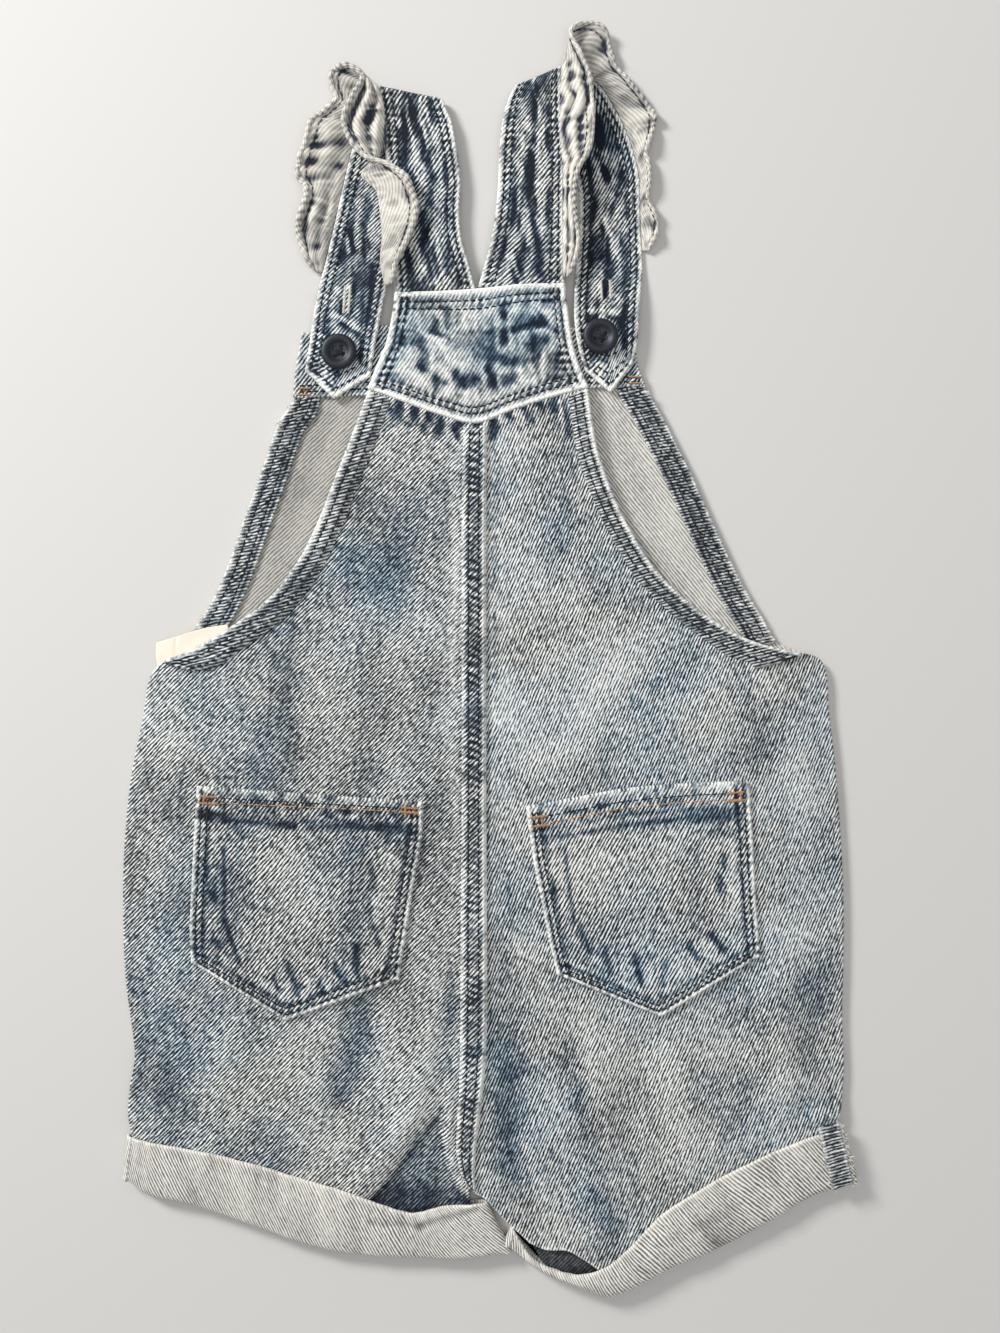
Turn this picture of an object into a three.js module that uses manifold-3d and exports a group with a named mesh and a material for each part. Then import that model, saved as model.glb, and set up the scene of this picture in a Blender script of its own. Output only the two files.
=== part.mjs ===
// Toddler's short denim dungarees with ruffled straps, lying flat: front down, back up.
// Millimetres, +Z up, +Y towards the shoulders, the surface they lie on at Z = 0.
// The wearer's left is on the -X side, because the back faces up.
import * as THREE from 'three';
import { mergeVertices } from 'three/addons/utils/BufferGeometryUtils.js';
import Module from 'manifold-3d';

const wasm = await Module();
wasm.setup();

// Driving dimensions.
const CLOTH = 1.2;            // thickness of one layer of denim
const TRIM = 1.0;             // thickness of a turned hem, a seam strip or the label
const GAP = 0.3;              // clearance between two layers or two pieces at a seam
const LAYER = CLOTH + GAP;
const ON_PANEL = 0.45;        // clearance under a piece that lies on a crowned panel
const CENTRE_X = -6.8;        // the centre seam's mean line
const SIDE_LEFT = -139;       // the widest part of the seat, each side
const SIDE_RIGHT = 133;
const SIDE_SLOPE = 24;        // width over which the back rises from its side seam
const CUFF_HEIGHT = 4 * LAYER - GAP;
const CUFF_BULGE = 1.2;       // how far a cuff's back wall swells between fold and edge
const CUFF_RISE_FROM = 15;    // distance above a cuff where the leg starts to lift into it
const CUFF_RISE_TO = 4;
const STRAP_OVER_BIB = 2 * LAYER + CLOTH / 2;
const BUTTON_RADIUS = 6.8;
const BUTTON_THICKNESS = 3;

const COLOURS = {
  denim: 0x74879b,
  inside: 0xb9b4ac,
  cuff: 0xc3c1bc,
  hem: 0x65717f,
  pocket: 0x8394a6,
  ruffle: 0xcfc6b4,
  button: 0x32343e,
  label: 0xfcf0e1,
};

// Short tables with named columns.
const table = (columns, rows) => {
  const named = (row) => Object.fromEntries(columns.map((name, i) => [name, row[i]]));
  return rows.map(named);
};
const outline = (rows) => table(['x', 'y'], rows);

const ramp = (from, to, value) => {
  const t = THREE.MathUtils.clamp((value - from) / (to - from), 0, 1);
  return t * t * (3 - 2 * t);
};

// A smooth curve through a table's rows; its 0 to 1 parameter steps evenly from row to row.
const route = (rows) => {
  const points = rows.map(({ x, y, z = 0 }) => new THREE.Vector3(x, y, z));
  const curve = new THREE.CatmullRomCurve3(points, false, 'centripetal');
  return (t) => curve.getPoint(THREE.MathUtils.clamp(t, 0, 1));
};

// A panel's place at (u, v): u from its outer to its inner edge, v from its top to its hem.
const panel = ({ outer, inner, top = null, hem = null }) => {
  const [outerEdge, innerEdge] = [route(outer), route(inner)];
  const bow = (rows) => {
    if (!rows) return () => new THREE.Vector3();
    const edge = route(rows);
    const [start, end] = [edge(0), edge(1)];
    return (u) => edge(u).sub(start.clone().lerp(end, u));
  };
  const [topBow, hemBow] = [bow(top), bow(hem)];
  return (u, v) => {
    const point = outerEdge(v).lerp(innerEdge(v), u);
    point.addScaledVector(topBow(u), 1 - v);
    return point.addScaledVector(hemBow(u), v);
  };
};

// Joins two grids of points, row by row, into one closed wall.
const closedWall = (lower, upper) => {
  const rows = lower.length;
  const columns = lower[0].length;
  const points = [...lower.flat(), ...upper.flat()];
  const low = (i, j) => i * columns + j;
  const high = (i, j) => rows * columns + low(i, j);
  const index = [];
  const quad = (a, b, c, d) => index.push(a, b, c, a, c, d);
  for (let i = 0; i + 1 < rows; i += 1) {
    for (let j = 0; j + 1 < columns; j += 1) {
      quad(high(i, j), high(i, j + 1), high(i + 1, j + 1), high(i + 1, j));
      quad(low(i, j), low(i + 1, j), low(i + 1, j + 1), low(i, j + 1));
    }
    quad(low(i, 0), high(i, 0), high(i + 1, 0), low(i + 1, 0));
    quad(low(i, columns - 1), low(i + 1, columns - 1), high(i + 1, columns - 1), high(i, columns - 1));
  }
  for (let j = 0; j + 1 < columns; j += 1) {
    quad(low(0, j), low(0, j + 1), high(0, j + 1), high(0, j));
    quad(low(rows - 1, j), high(rows - 1, j), high(rows - 1, j + 1), low(rows - 1, j + 1));
  }
  return facingOut(points, index);
};

const facingOut = (points, index) => {
  let volume = 0;
  for (let k = 0; k < index.length; k += 3) {
    const [a, b, c] = [points[index[k]], points[index[k + 1]], points[index[k + 2]]];
    volume += a.dot(new THREE.Vector3().crossVectors(b, c));
  }
  if (volume < 0) index.reverse();
  const geometry = new THREE.BufferGeometry();
  const numbers = points.flatMap((point) => point.toArray());
  geometry.setAttribute('position', new THREE.Float32BufferAttribute(numbers, 3));
  geometry.setIndex(index);
  return geometry;
};

const steps = (count) => Array.from({ length: count + 1 }, (_, k) => k / count);

// Cloth that lies on something: its underside follows a height, and it is thick straight up.
const laidCloth = (place, across, along, height, thickness) => {
  const grid = steps(along).map((v) => steps(across).map((u) => place(u, v)));
  const at = (lift) => grid.map((row) => row.map(({ x, y }) => new THREE.Vector3(x, y, height(x, y) + lift)));
  return closedWall(at(0), at(thickness));
};

// Cloth that bends freely: its middle surface is given, and it is thick along its normal.
const bentCloth = (place, across, along, thickness) => {
  const step = 1e-3;
  const normal = (u, v) => {
    const du = place(Math.min(u + step, 1), v).sub(place(Math.max(u - step, 0), v));
    const dv = place(u, Math.min(v + step, 1)).sub(place(u, Math.max(v - step, 0)));
    return du.cross(dv).normalize();
  };
  const side = (sign) => steps(along).map((v) => steps(across).map((u) => (
    place(u, v).addScaledVector(normal(u, v), sign * thickness / 2))));
  return closedWall(side(-1), side(1));
};

const toSolid = (geometry) => {
  const plain = geometry.clone();
  plain.deleteAttribute('normal');
  plain.deleteAttribute('uv');
  const merged = mergeVertices(plain, 1e-4);
  const vertProperties = merged.attributes.position.array;
  const triVerts = new Uint32Array(merged.index.array);
  return new wasm.Manifold(new wasm.Mesh({ numProp: 3, vertProperties, triVerts }));
};

const toGeometry = (solid) => {
  const mesh = solid.getMesh();
  const geometry = new THREE.BufferGeometry();
  geometry.setAttribute('position', new THREE.Float32BufferAttribute(mesh.vertProperties, 3));
  geometry.setIndex([...mesh.triVerts]);
  return geometry;
};

// Outlines that neighbouring panels share.
const SEAT_LEFT = [[-133, -24], [-137.5, -46.5], [-140, -73], [-140.5, -96], [-139.5, -122.5],
  [-136.5, -145.5], [-136, -153], [-138, -164.5], [-138.3, -174], [-136.4, -184], [-136.4, -196.5]];
const SEAT_RIGHT = [[128, -22], [130.5, -43], [132.5, -69.5], [133.5, -92], [133.5, -115],
  [133, -138], [133.6, -157], [132.6, -170], [130.6, -181], [133, -192]];
const LEG_HEM_LEFT = outline([[-136.4, -196.5], [-125.5, -199.5], [-95, -206], [-65, -216],
  [-34.5, -222], [-15.5, -222], [-8, -221]]);
const LEG_HEM_RIGHT = outline([[133, -192], [117.5, -196], [95, -205.5], [72, -219], [57, -230],
  [45.5, -235], [36, -229.5], [28.5, -225.4], [20.5, -225], [14.5, -222.5]]);

const BACK_LEFT = panel({
  outer: outline([[-46.5, 101.5], [-53.5, 82.5], [-59.5, 67.5], [-65.5, 52], [-73, 37], [-84, 22.5],
    [-97, 12.5], [-112.5, 3], [-128.5, -5], ...SEAT_LEFT]),
  inner: outline([[-6.65, 88.5], [-7, 71], [-7, 54], [-7, 37], [-7, 20], [-7, 3], [-7, -12.5],
    [-7, -25.5], [-7, -39], [-7, -54], [-7.15, -71], [-7.15, -92], [-7.15, -111], [-7.15, -132],
    [-8.15, -151], [-8.65, -158.5], [-9.45, -170], [-9.75, -187], [-9, -205], [-8, -221]]),
  top: outline([[-46.5, 101.5], [-34.5, 97], [-19, 91.5], [-6.65, 88.5]]),
  hem: LEG_HEM_LEFT,
});

const BACK_RIGHT = panel({
  outer: outline([[36, 102], [37.5, 90], [39.5, 79], [42.5, 69.5], [47, 58], [53, 46.5], [60.5, 34.5],
    [70.5, 24], [82.5, 14.5], [96.5, 6.5], [112, 2], [125, -1.5], ...SEAT_RIGHT]),
  inner: outline([[-6.35, 88.5], [-6.7, 79], [-6.7, 67.5], [-6.7, 56], [-6.7, 43], [-6.7, 29.5],
    [-6.7, 16], [-6.7, 3], [-6.7, -10.5], [-6.7, -22], [-6.7, -33], [-6.7, -46.5], [-6.85, -71],
    [-6.85, -100], [-6.85, -130], [-8.1, -158.5], [-9.15, -173], [-9.3, -187], [-7.4, -202.5],
    [-2.6, -205.8], [4.6, -213.6], [14.5, -222.5]]),
  top: outline([[36, 102], [22.5, 98.5], [7.5, 93.5], [-6.35, 88.5]]),
  hem: LEG_HEM_RIGHT,
});

const FRONT_LEFT = panel({
  outer: outline([[-72.5, 123.5], [-75, 109], [-76, 98], [-83, 82], [-88.5, 68.5], [-94, 53],
    [-101.5, 33], [-109, 17.5], [-119, 4.5], [-128.5, -5.5], ...SEAT_LEFT]),
  inner: outline([[-6.95, 127], [-6.95, 104], [-6.95, 80], [-6.95, 56], [-6.95, 32], [-6.95, 8],
    [-6.95, -15], [-6.95, -40], [-6.95, -60], [-6.95, -85], [-7.15, -105], [-7.15, -125],
    [-7.45, -145], [-8.65, -158.5], [-9.15, -166], [-9.55, -173], [-9.75, -187], [-9, -196],
    [-9, -205], [-8, -221]]),
  top: outline([[-72.5, 123.5], [-50, 126], [-28, 127], [-6.95, 127]]),
  hem: LEG_HEM_LEFT,
});

const FRONT_RIGHT = panel({
  outer: outline([[54, 123.5], [55.5, 111], [58.5, 102.5], [62.5, 96], [69, 83.5], [76, 69.5], [82, 56],
    [88, 43], [95.5, 27.5], [102.5, 16], [109.5, 5], [125, -2], ...SEAT_RIGHT]),
  inner: outline([[-6.65, 127], [-6.65, 110], [-6.65, 93], [-6.65, 76], [-6.65, 60], [-6.65, 44],
    [-6.65, 28], [-6.65, 12], [-6.65, -4], [-6.65, -20], [-6.65, -36], [-6.65, -52], [-6.85, -71],
    [-6.85, -100], [-6.85, -130], [-8.1, -158.5], [-9.15, -173], [-9.3, -187], [-7.4, -202.5],
    [-2.6, -205.8], [4.6, -213.6], [14.5, -222.5]]),
  top: outline([[54, 123.5], [34, 126], [14, 127], [-6.65, 127]]),
  hem: LEG_HEM_RIGHT,
});

// Cuffs: the turned-up edge, and the fold at the bottom, from the left end to the right end.
const CUFF_LEFT = {
  edge: outline([[-136.4, -182.6], [-129.5, -184.5], [-118, -186.5], [-103, -189.5], [-87.5, -193.5],
    [-72.5, -198], [-57, -202.5], [-42, -208], [-30.5, -211], [-19, -208.6], [-7, -207.6]]),
  fold: outline([[-138.4, -199], [-130, -204.5], [-118, -207], [-103, -211.5], [-87.5, -217],
    [-72.5, -222.5], [-57, -226], [-42, -227.5], [-30.5, -228], [-12, -228.2], [5.2, -226.4]]),
};
const CUFF_RIGHT = {
  edge: outline([[12.8, -226.2], [17, -229.4], [24, -232.6], [33, -234.5], [43.5, -231.5],
    [53, -223.5], [64.5, -211.5], [76, -204], [87, -197.5], [102.5, -190], [117.5, -183.5], [130.6, -179.6]]),
  fold: outline([[13.6, -229.2], [17.5, -232.6], [24, -236], [34, -239.8], [44, -243],
    [57, -238], [68, -232], [81.5, -226.5], [95, -220], [108, -212.5], [122, -204.6], [136.6, -199.8]]),
};

// The cuff edge's Y at a given X, read along its rows.
const edgeHeight = (rows) => (x) => {
  const after = Math.max(1, Math.min(rows.length - 1, rows.findIndex((row) => row.x > x)));
  const [a, b] = x > rows.at(-1).x ? rows.slice(-2) : [rows[after - 1], rows[after]];
  return a.y + (b.y - a.y) * THREE.MathUtils.clamp((x - a.x) / (b.x - a.x), 0, 1);
};
const cuffEdgeLeft = edgeHeight(CUFF_LEFT.edge);
const cuffEdgeRight = edgeHeight(CUFF_RIGHT.edge);

// 0 on the open leg, 1 where it is inside its cuff.
const insideCuff = (x, y) => {
  const edge = x < CENTRE_X ? cuffEdgeLeft(x) : cuffEdgeRight(x);
  return ramp(edge + CUFF_RISE_FROM, edge + CUFF_RISE_TO, y);
};

// The largest soft folds of the back, each a ridge or trough along a line.
const FOLDS = table(['x1', 'y1', 'x2', 'y2', 'width', 'height'], [
  [-104, -2, -114, -42, 9, -0.8],
  [-118, -104, -129, -146, 8, 1.0],
  [-48, -134, -57, -172, 9, -1.1],
  [-20, -144, -38, -188, 8, 1.3],
  [35, -176, 42, -216, 9, 1.2],
  [27, -204, 38, -226, 7, -0.7],
  [108, -130, 113, -162, 8, 1.1],
  [60, -146, 52, -178, 10, -0.8],
]);

const foldLift = (x, y) => {
  let lift = 0;
  for (const { x1, y1, x2, y2, width, height } of FOLDS) {
    const [dx, dy] = [x2 - x1, y2 - y1];
    const length = Math.hypot(dx, dy);
    const along = ((x - x1) * dx + (y - y1) * dy) / length;
    const off = ((x - x1) * dy - (y - y1) * dx) / length;
    const past = Math.max(0, -along, along - length);
    lift += height * Math.exp(-((off * off + past * past) / (width * width)));
  }
  return lift;
};

const frontUnder = (x, y) => LAYER * insideCuff(x, y);

const backUnder = (x, y) => {
  const inset = x < CENTRE_X ? x - SIDE_LEFT : SIDE_RIGHT - x;
  const cuff = insideCuff(x, y);
  const crown = Math.max(ramp(0, SIDE_SLOPE, inset), cuff);
  const free = ramp(0, SIDE_SLOPE, inset) * (1 - cuff) * ramp(7, 24, Math.abs(x - CENTRE_X));
  return LAYER + LAYER * crown + free * foldLift(x, y);
};
const onFront = (x, y) => frontUnder(x, y) + LAYER;
const onBack = (x, y) => backUnder(x, y) + CLOTH + ON_PANEL;

const group = new THREE.Group();
const addPiece = (name, geometry, colour, roughness = 0.9) => {
  geometry.computeVertexNormals();
  const material = new THREE.MeshStandardMaterial({ color: colour, roughness, metalness: 0 });
  const mesh = new THREE.Mesh(geometry, material);
  mesh.name = name;
  group.add(mesh);
};

// The four main panels.
addPiece('front_left', laidCloth(FRONT_LEFT, 5, 30, frontUnder, CLOTH), COLOURS.inside);
addPiece('front_right', laidCloth(FRONT_RIGHT, 5, 30, frontUnder, CLOTH), COLOURS.inside);
addPiece('back_left', laidCloth(BACK_LEFT, 12, 30, backUnder, CLOTH), COLOURS.denim);
addPiece('back_right', laidCloth(BACK_RIGHT, 12, 30, backUnder, CLOTH), COLOURS.denim);

// A narrow band along a panel's outer edge, between two of its v values, a fixed width in from it.
const edgeBand = (place, from, to, width, inset = 0) => (u, v) => {
  const along = from + (to - from) * v;
  const edge = place(0, along);
  const inward = place(1, along).sub(edge);
  const ahead = place(0, Math.min(along + 0.01, 1)).sub(place(0, Math.max(along - 0.01, 0)));
  const slant = inward.length() * Math.abs(Math.sin(inward.angleTo(ahead)));
  return edge.addScaledVector(inward, (inset + width * u) / slant);
};

// The turned hems: on the back's armholes, and on the bib's inner face.
const ARMHOLE_LEFT = edgeBand(BACK_LEFT, 0.003, 0.405, 8.4, 0.2);
const ARMHOLE_RIGHT = edgeBand(BACK_RIGHT, 0.003, 0.495, 7, 0.2);
addPiece('armhole_hem_left', laidCloth(ARMHOLE_LEFT, 2, 24, onBack, TRIM), COLOURS.hem);
addPiece('armhole_hem_right', laidCloth(ARMHOLE_RIGHT, 2, 24, onBack, TRIM), COLOURS.hem);

const BIB_SIDE_LEFT = edgeBand(FRONT_LEFT, 0.107, 0.352, 9.5, 0.2);
const BIB_SIDE_RIGHT = edgeBand(FRONT_RIGHT, 0.098, 0.462, 9.5, 0.2);
addPiece('bib_side_hem_left', laidCloth(BIB_SIDE_LEFT, 2, 16, onFront, CLOTH), COLOURS.hem);
addPiece('bib_side_hem_right', laidCloth(BIB_SIDE_RIGHT, 2, 16, onFront, CLOTH), COLOURS.hem);

const BIB_TOP_HEM = panel({
  outer: outline([[-72.3, 123.2], [-74.8, 109], [-75.7, 99]]),
  inner: outline([[53.8, 123.2], [55.3, 111], [57.9, 103.6]]),
  top: outline([[-72.3, 123.2], [-40, 126.3], [-8, 126.8], [22.5, 125.9], [53.8, 123.2]]),
  hem: outline([[-75.7, 99], [-42, 100.4], [-8, 101.4], [26.5, 102.5], [57.9, 103.6]]),
});
addPiece('bib_top_hem', laidCloth(BIB_TOP_HEM, 14, 3, onFront, CLOTH), COLOURS.inside);

// The felled seam down the centre back: left and right edges of the strip at each height.
const SEAM_STRIP = table(['left', 'right', 'y'], [
  [-10.8, -2.2, 87.2], [-11.5, -2.5, 55], [-11.5, -2.5, 22], [-11.5, -2.5, -16], [-11.5, -2.5, -54],
  [-11.8, -2.3, -92], [-12, -2.2, -130], [-12.2, -2.7, -153], [-12.6, -4.2, -168],
  [-13.4, -5.6, -179.5], [-13.4, -6.6, -189], [-11.6, -7, -196.5], [-9, -6.6, -201.5]]);
const seamPlace = panel({
  outer: SEAM_STRIP.map(({ left, y }) => ({ x: left, y })),
  inner: SEAM_STRIP.map(({ right, y }) => ({ x: right, y })),
});
addPiece('centre_back_seam', laidCloth(seamPlace, 2, 34, onBack, TRIM), COLOURS.denim);

// The yoke, over the tops of the two backs and under the straps.
const YOKE = panel({
  outer: outline([[-36.5, 138.2], [-38, 128], [-40, 119], [-44, 109.4], [-46.7, 102.2]]),
  inner: outline([[27, 141.6], [28.2, 132], [29.8, 120.5], [32.4, 111], [35.9, 102.7]]),
  top: outline([[-36.5, 138.2], [-19, 138.7], [-4, 139.7], [11, 141.3], [27, 141.6]]),
  hem: outline([[-46.7, 102.2], [-34.5, 97.8], [-19, 92.3], [-6.5, 89.3], [7.5, 94.3], [22.5, 99.2],
    [35.9, 102.7]]),
});
addPiece('back_yoke', laidCloth(YOKE, 14, 7, () => 2 * LAYER, CLOTH), COLOURS.denim);

// Patch pockets: straight-sided with a pointed lower edge and a thicker turned hem at the top.
const POCKET_HEM_LIFT = 0.63;  // the turned hem's extra thickness
const POCKET_LEFT = panel({
  outer: outline([[-111.5, -49.5], [-112.5, -65.5], [-113.5, -84.5], [-114, -103.5], [-113.5, -115.5]]),
  inner: outline([[-27, -55.5], [-27, -65.5], [-30, -84.5], [-33, -103.5], [-36, -122]]),
});
const POCKET_RIGHT = panel({
  outer: outline([[96.5, -47.5], [98, -65.5], [99, -84.5], [100, -100], [101, -113]]),
  inner: outline([[13.5, -57], [16, -77], [19, -92], [22, -107.5], [25, -120]]),
  top: outline([[96.5, -47.5], [72, -48.5], [49, -50.5], [30, -54], [13.5, -57]]),
});

// The point at the bottom: how far each column drops below the straight line of the corners.
const pocketPlace = (place, tipU, drop) => (u, v) => {
  const point = place(u, v);
  const share = u < tipU ? u / tipU : (1 - u) / (1 - tipU);
  point.y -= drop * share * ramp(0.35, 1, v);
  return point;
};

// Rows crowd at the hem's step, so the step is one narrow slope.
const pocketRows = (place) => (u, v) => {
  const rows = [0, 0.095, 0.125, 0.25, 0.37, 0.5, 0.62, 0.75, 0.87, 1];
  const k = Math.min(Math.floor(v * (rows.length - 1) + 1e-6), rows.length - 2);
  const rest = v * (rows.length - 1) - k;
  return place(u, rows[k] + (rows[k + 1] - rows[k]) * rest);
};
const pocketGeometry = (place, tipU, drop) => {
  const shaped = pocketRows(pocketPlace(place, tipU, drop));
  const grid = steps(9).map((v) => steps(10).map((u) => shaped(u, v)));
  const lower = grid.map((row) => row.map(({ x, y }) => new THREE.Vector3(x, y, onBack(x, y))));
  const hemLift = (i) => (i < 2 ? POCKET_HEM_LIFT : 0);
  const upper = lower.map((row, i) => row.map((p) => new THREE.Vector3(p.x, p.y, p.z + CLOTH + hemLift(i))));
  return closedWall(lower, upper);
};
addPiece('pocket_left', pocketGeometry(POCKET_LEFT, 0.45, 18.9), COLOURS.pocket);
addPiece('pocket_right', pocketGeometry(POCKET_RIGHT, 0.49, 19.4), COLOURS.pocket);

// Cuffs: one wall that goes across the back of the leg, round its edge, and back across the front.
const CUFF_ACROSS = 16;
const CUFF_END = 4;
const cuffGeometry = ({ edge, fold }) => {
  const [edgeRoute, foldRoute] = [route(edge), route(fold)];
  const outerRadius = CUFF_HEIGHT / 2;
  const pointAt = (s, past, v) => {
    const ends = [foldRoute, edgeRoute].map((line) => {
      const beyond = line(s > 0.5 ? 1 : 0).sub(line(s > 0.5 ? 0.98 : 0.02)).normalize();
      return line(s).addScaledVector(beyond, past);
    });
    return ends[0].lerp(ends[1], v);
  };
  const section = (radius) => {
    const turn = (end, sign) => steps(CUFF_END).slice(1, -1).map((k) => {
      const angle = sign * (Math.PI / 2 - Math.PI * k);
      return { s: end, past: radius * Math.cos(angle), z: outerRadius + radius * Math.sin(angle), back: 0 };
    });
    const flat = (s, z, back) => ({ s, past: 0, z, back });
    return [
      ...steps(CUFF_ACROSS).map((s) => flat(s, outerRadius + radius, 1)),
      ...turn(1, 1),
      ...steps(CUFF_ACROSS).map((s) => flat(1 - s, outerRadius - radius, 0)),
      ...turn(0, -1),
    ];
  };
  const ring = (radius) => steps(4).map((v) => section(radius).map(({ s, past, z, back }) => {
    const point = pointAt(s, past, v);
    const swell = Math.sin(Math.PI * v) * Math.sin(Math.PI * s);
    point.z = z + back * CUFF_BULGE * swell;
    return point;
  }));
  return closedTube(ring(outerRadius - CLOTH), ring(outerRadius));
};

// Joins two stacks of rings, one inside the other, into one closed tube wall.
const closedTube = (inner, outer) => {
  const around = inner[0].length;
  const last = inner.length - 1;
  const points = [...inner.flat(), ...outer.flat()];
  const low = (i, j) => i * around + (j % around);
  const high = (i, j) => inner.length * around + low(i, j);
  const index = [];
  const quad = (a, b, c, d) => index.push(a, b, c, a, c, d);
  for (let j = 0; j < around; j += 1) {
    for (let i = 0; i < last; i += 1) {
      quad(high(i, j), high(i, j + 1), high(i + 1, j + 1), high(i + 1, j));
      quad(low(i, j), low(i + 1, j), low(i + 1, j + 1), low(i, j + 1));
    }
    quad(low(0, j), low(0, j + 1), high(0, j + 1), high(0, j));
    quad(low(last, j), high(last, j), high(last, j + 1), low(last, j + 1));
  }
  return facingOut(points, index);
};
addPiece('cuff_left', cuffGeometry(CUFF_LEFT), COLOURS.cuff);
addPiece('cuff_right', cuffGeometry(CUFF_RIGHT), COLOURS.cuff);

// The side seam's frayed allowance, which lies on the right cuff's end.
const ALLOWANCE = panel({
  outer: outline([[123.6, -178.2], [126.4, -190], [129.4, -201]]),
  inner: outline([[130.4, -175.6], [133.2, -187], [136, -198.6]]),
});
const onCuff = () => CUFF_HEIGHT + CUFF_BULGE * 0.4 + GAP;
addPiece('cuff_side_seam_right', laidCloth(ALLOWANCE, 2, 6, onCuff, TRIM), COLOURS.ruffle);

// Straps: sections from under the yoke, up the back, over the shoulder and down the bib.
const STRAP_COLUMNS = ['ox', 'oy', 'ix', 'iy', 'z'];
const STRAP_LEFT = table(STRAP_COLUMNS, [
  [-36.2, 138.8, -7, 140.2, 3.6], [-36.8, 147.5, -9, 148, 3.6], [-38, 158.5, -12, 158.5, 3.6],
  [-39, 170, -13, 169.5, 3.6], [-39.5, 181.5, -12.5, 181.5, 3.6], [-40.5, 193, -14, 193, 3.6],
  [-41.5, 204, -16, 204, 3.6], [-42.6, 212, -17.8, 208, 3.6], [-43.4, 216.6, -19, 211.6, 3.3],
  [-43.9, 217.6, -19.6, 212.6, 2.1], [-44.2, 216.4, -20.2, 211.4, 0.9], [-45.6, 211, -21.4, 206.6, 0.6],
  [-52.5, 196.5, -27.5, 196.5, 0.6], [-56.5, 181.5, -31.5, 181.5, 0.6], [-60, 166, -35.5, 165.5, 0.6],
  [-63.5, 151, -39.5, 150.5, 0.8], [-66, 139.5, -41, 139.5, 2.6], [-67.6, 130, -42.8, 130, STRAP_OVER_BIB],
  [-69.3, 118.5, -45.2, 117.5, STRAP_OVER_BIB], [-70.8, 109, -46.9, 107, STRAP_OVER_BIB],
]);
const STRAP_RIGHT = table(STRAP_COLUMNS, [
  [27, 142.3, -5, 141, 3.6], [27, 150, -3, 147.6, 3.6], [27, 158.5, -0.5, 157, 3.6],
  [27, 168, 1.5, 168, 3.6], [27, 179.5, 2.5, 179.5, 3.6], [27, 191, 3, 191, 3.6],
  [26.2, 202.5, 4, 202.5, 3.6], [25.8, 215, 6, 211, 3.6], [25.9, 223.4, 8.6, 216.4, 3.3],
  [26.6, 225.2, 9.6, 217.8, 2.1], [28.4, 224.2, 11, 216.6, 0.9], [32.2, 222, 13.4, 213.4, 0.6],
  [40, 219, 19.5, 207.5, 0.6], [46, 210.5, 25.5, 200.5, 0.6], [51.5, 199.5, 30, 191, 0.6],
  [55.6, 185, 33.2, 179.5, 0.6], [56, 172, 33.6, 170, 0.6], [56.5, 160.5, 33.2, 160.5, 0.6],
  [57, 149, 32.4, 149, 0.9], [56, 138, 31.6, 137, 2.9], [55.4, 129, 31.6, 128, STRAP_OVER_BIB],
  [54.6, 119, 33.2, 117, STRAP_OVER_BIB], [52.8, 112, 35.8, 109, STRAP_OVER_BIB],
]);
const STRAP_POINT = 9.5;       // how far the pointed end runs past its corners

const strapPlace = (rows) => {
  const outer = route(rows.map(({ ox, oy, z }) => ({ x: ox, y: oy, z })));
  const inner = route(rows.map(({ ix, iy, z }) => ({ x: ix, y: iy, z })));
  const end = outer(1).add(inner(1)).sub(outer(0.98)).sub(inner(0.98)).normalize();
  return (u, v) => {
    const point = outer(v).lerp(inner(v), u);
    const pointed = STRAP_POINT * (1 - Math.abs(2 * u - 1)) * ramp(0.9, 1, v);
    return point.addScaledVector(end, pointed);
  };
};

// A buttonhole: a slim rounded slit cut straight through the strap.
const slit = (x, y, length, width) => {
  const shape = new THREE.Shape();
  const half = length / 2 - width / 2;
  shape.absarc(0, half, width / 2, 0, Math.PI, false);
  shape.absarc(0, -half, width / 2, Math.PI, 2 * Math.PI, false);
  shape.closePath();
  const cutter = new THREE.ExtrudeGeometry(shape, { depth: 10, bevelEnabled: false, curveSegments: 4 });
  return cutter.translate(x, y, -1);
};
const strapGeometry = (rows, along, hole) => {
  const strap = toSolid(bentCloth(strapPlace(rows), 4, along, CLOTH));
  return toGeometry(strap.subtract(toSolid(slit(...hole))));
};
addPiece('strap_left', strapGeometry(STRAP_LEFT, 38, [-55.3, 135.9, 11.4, 0.9]), COLOURS.denim);
addPiece('strap_right', strapGeometry(STRAP_RIGHT, 42, [43.1, 139.6, 7.4, 1.6]), COLOURS.denim);

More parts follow.
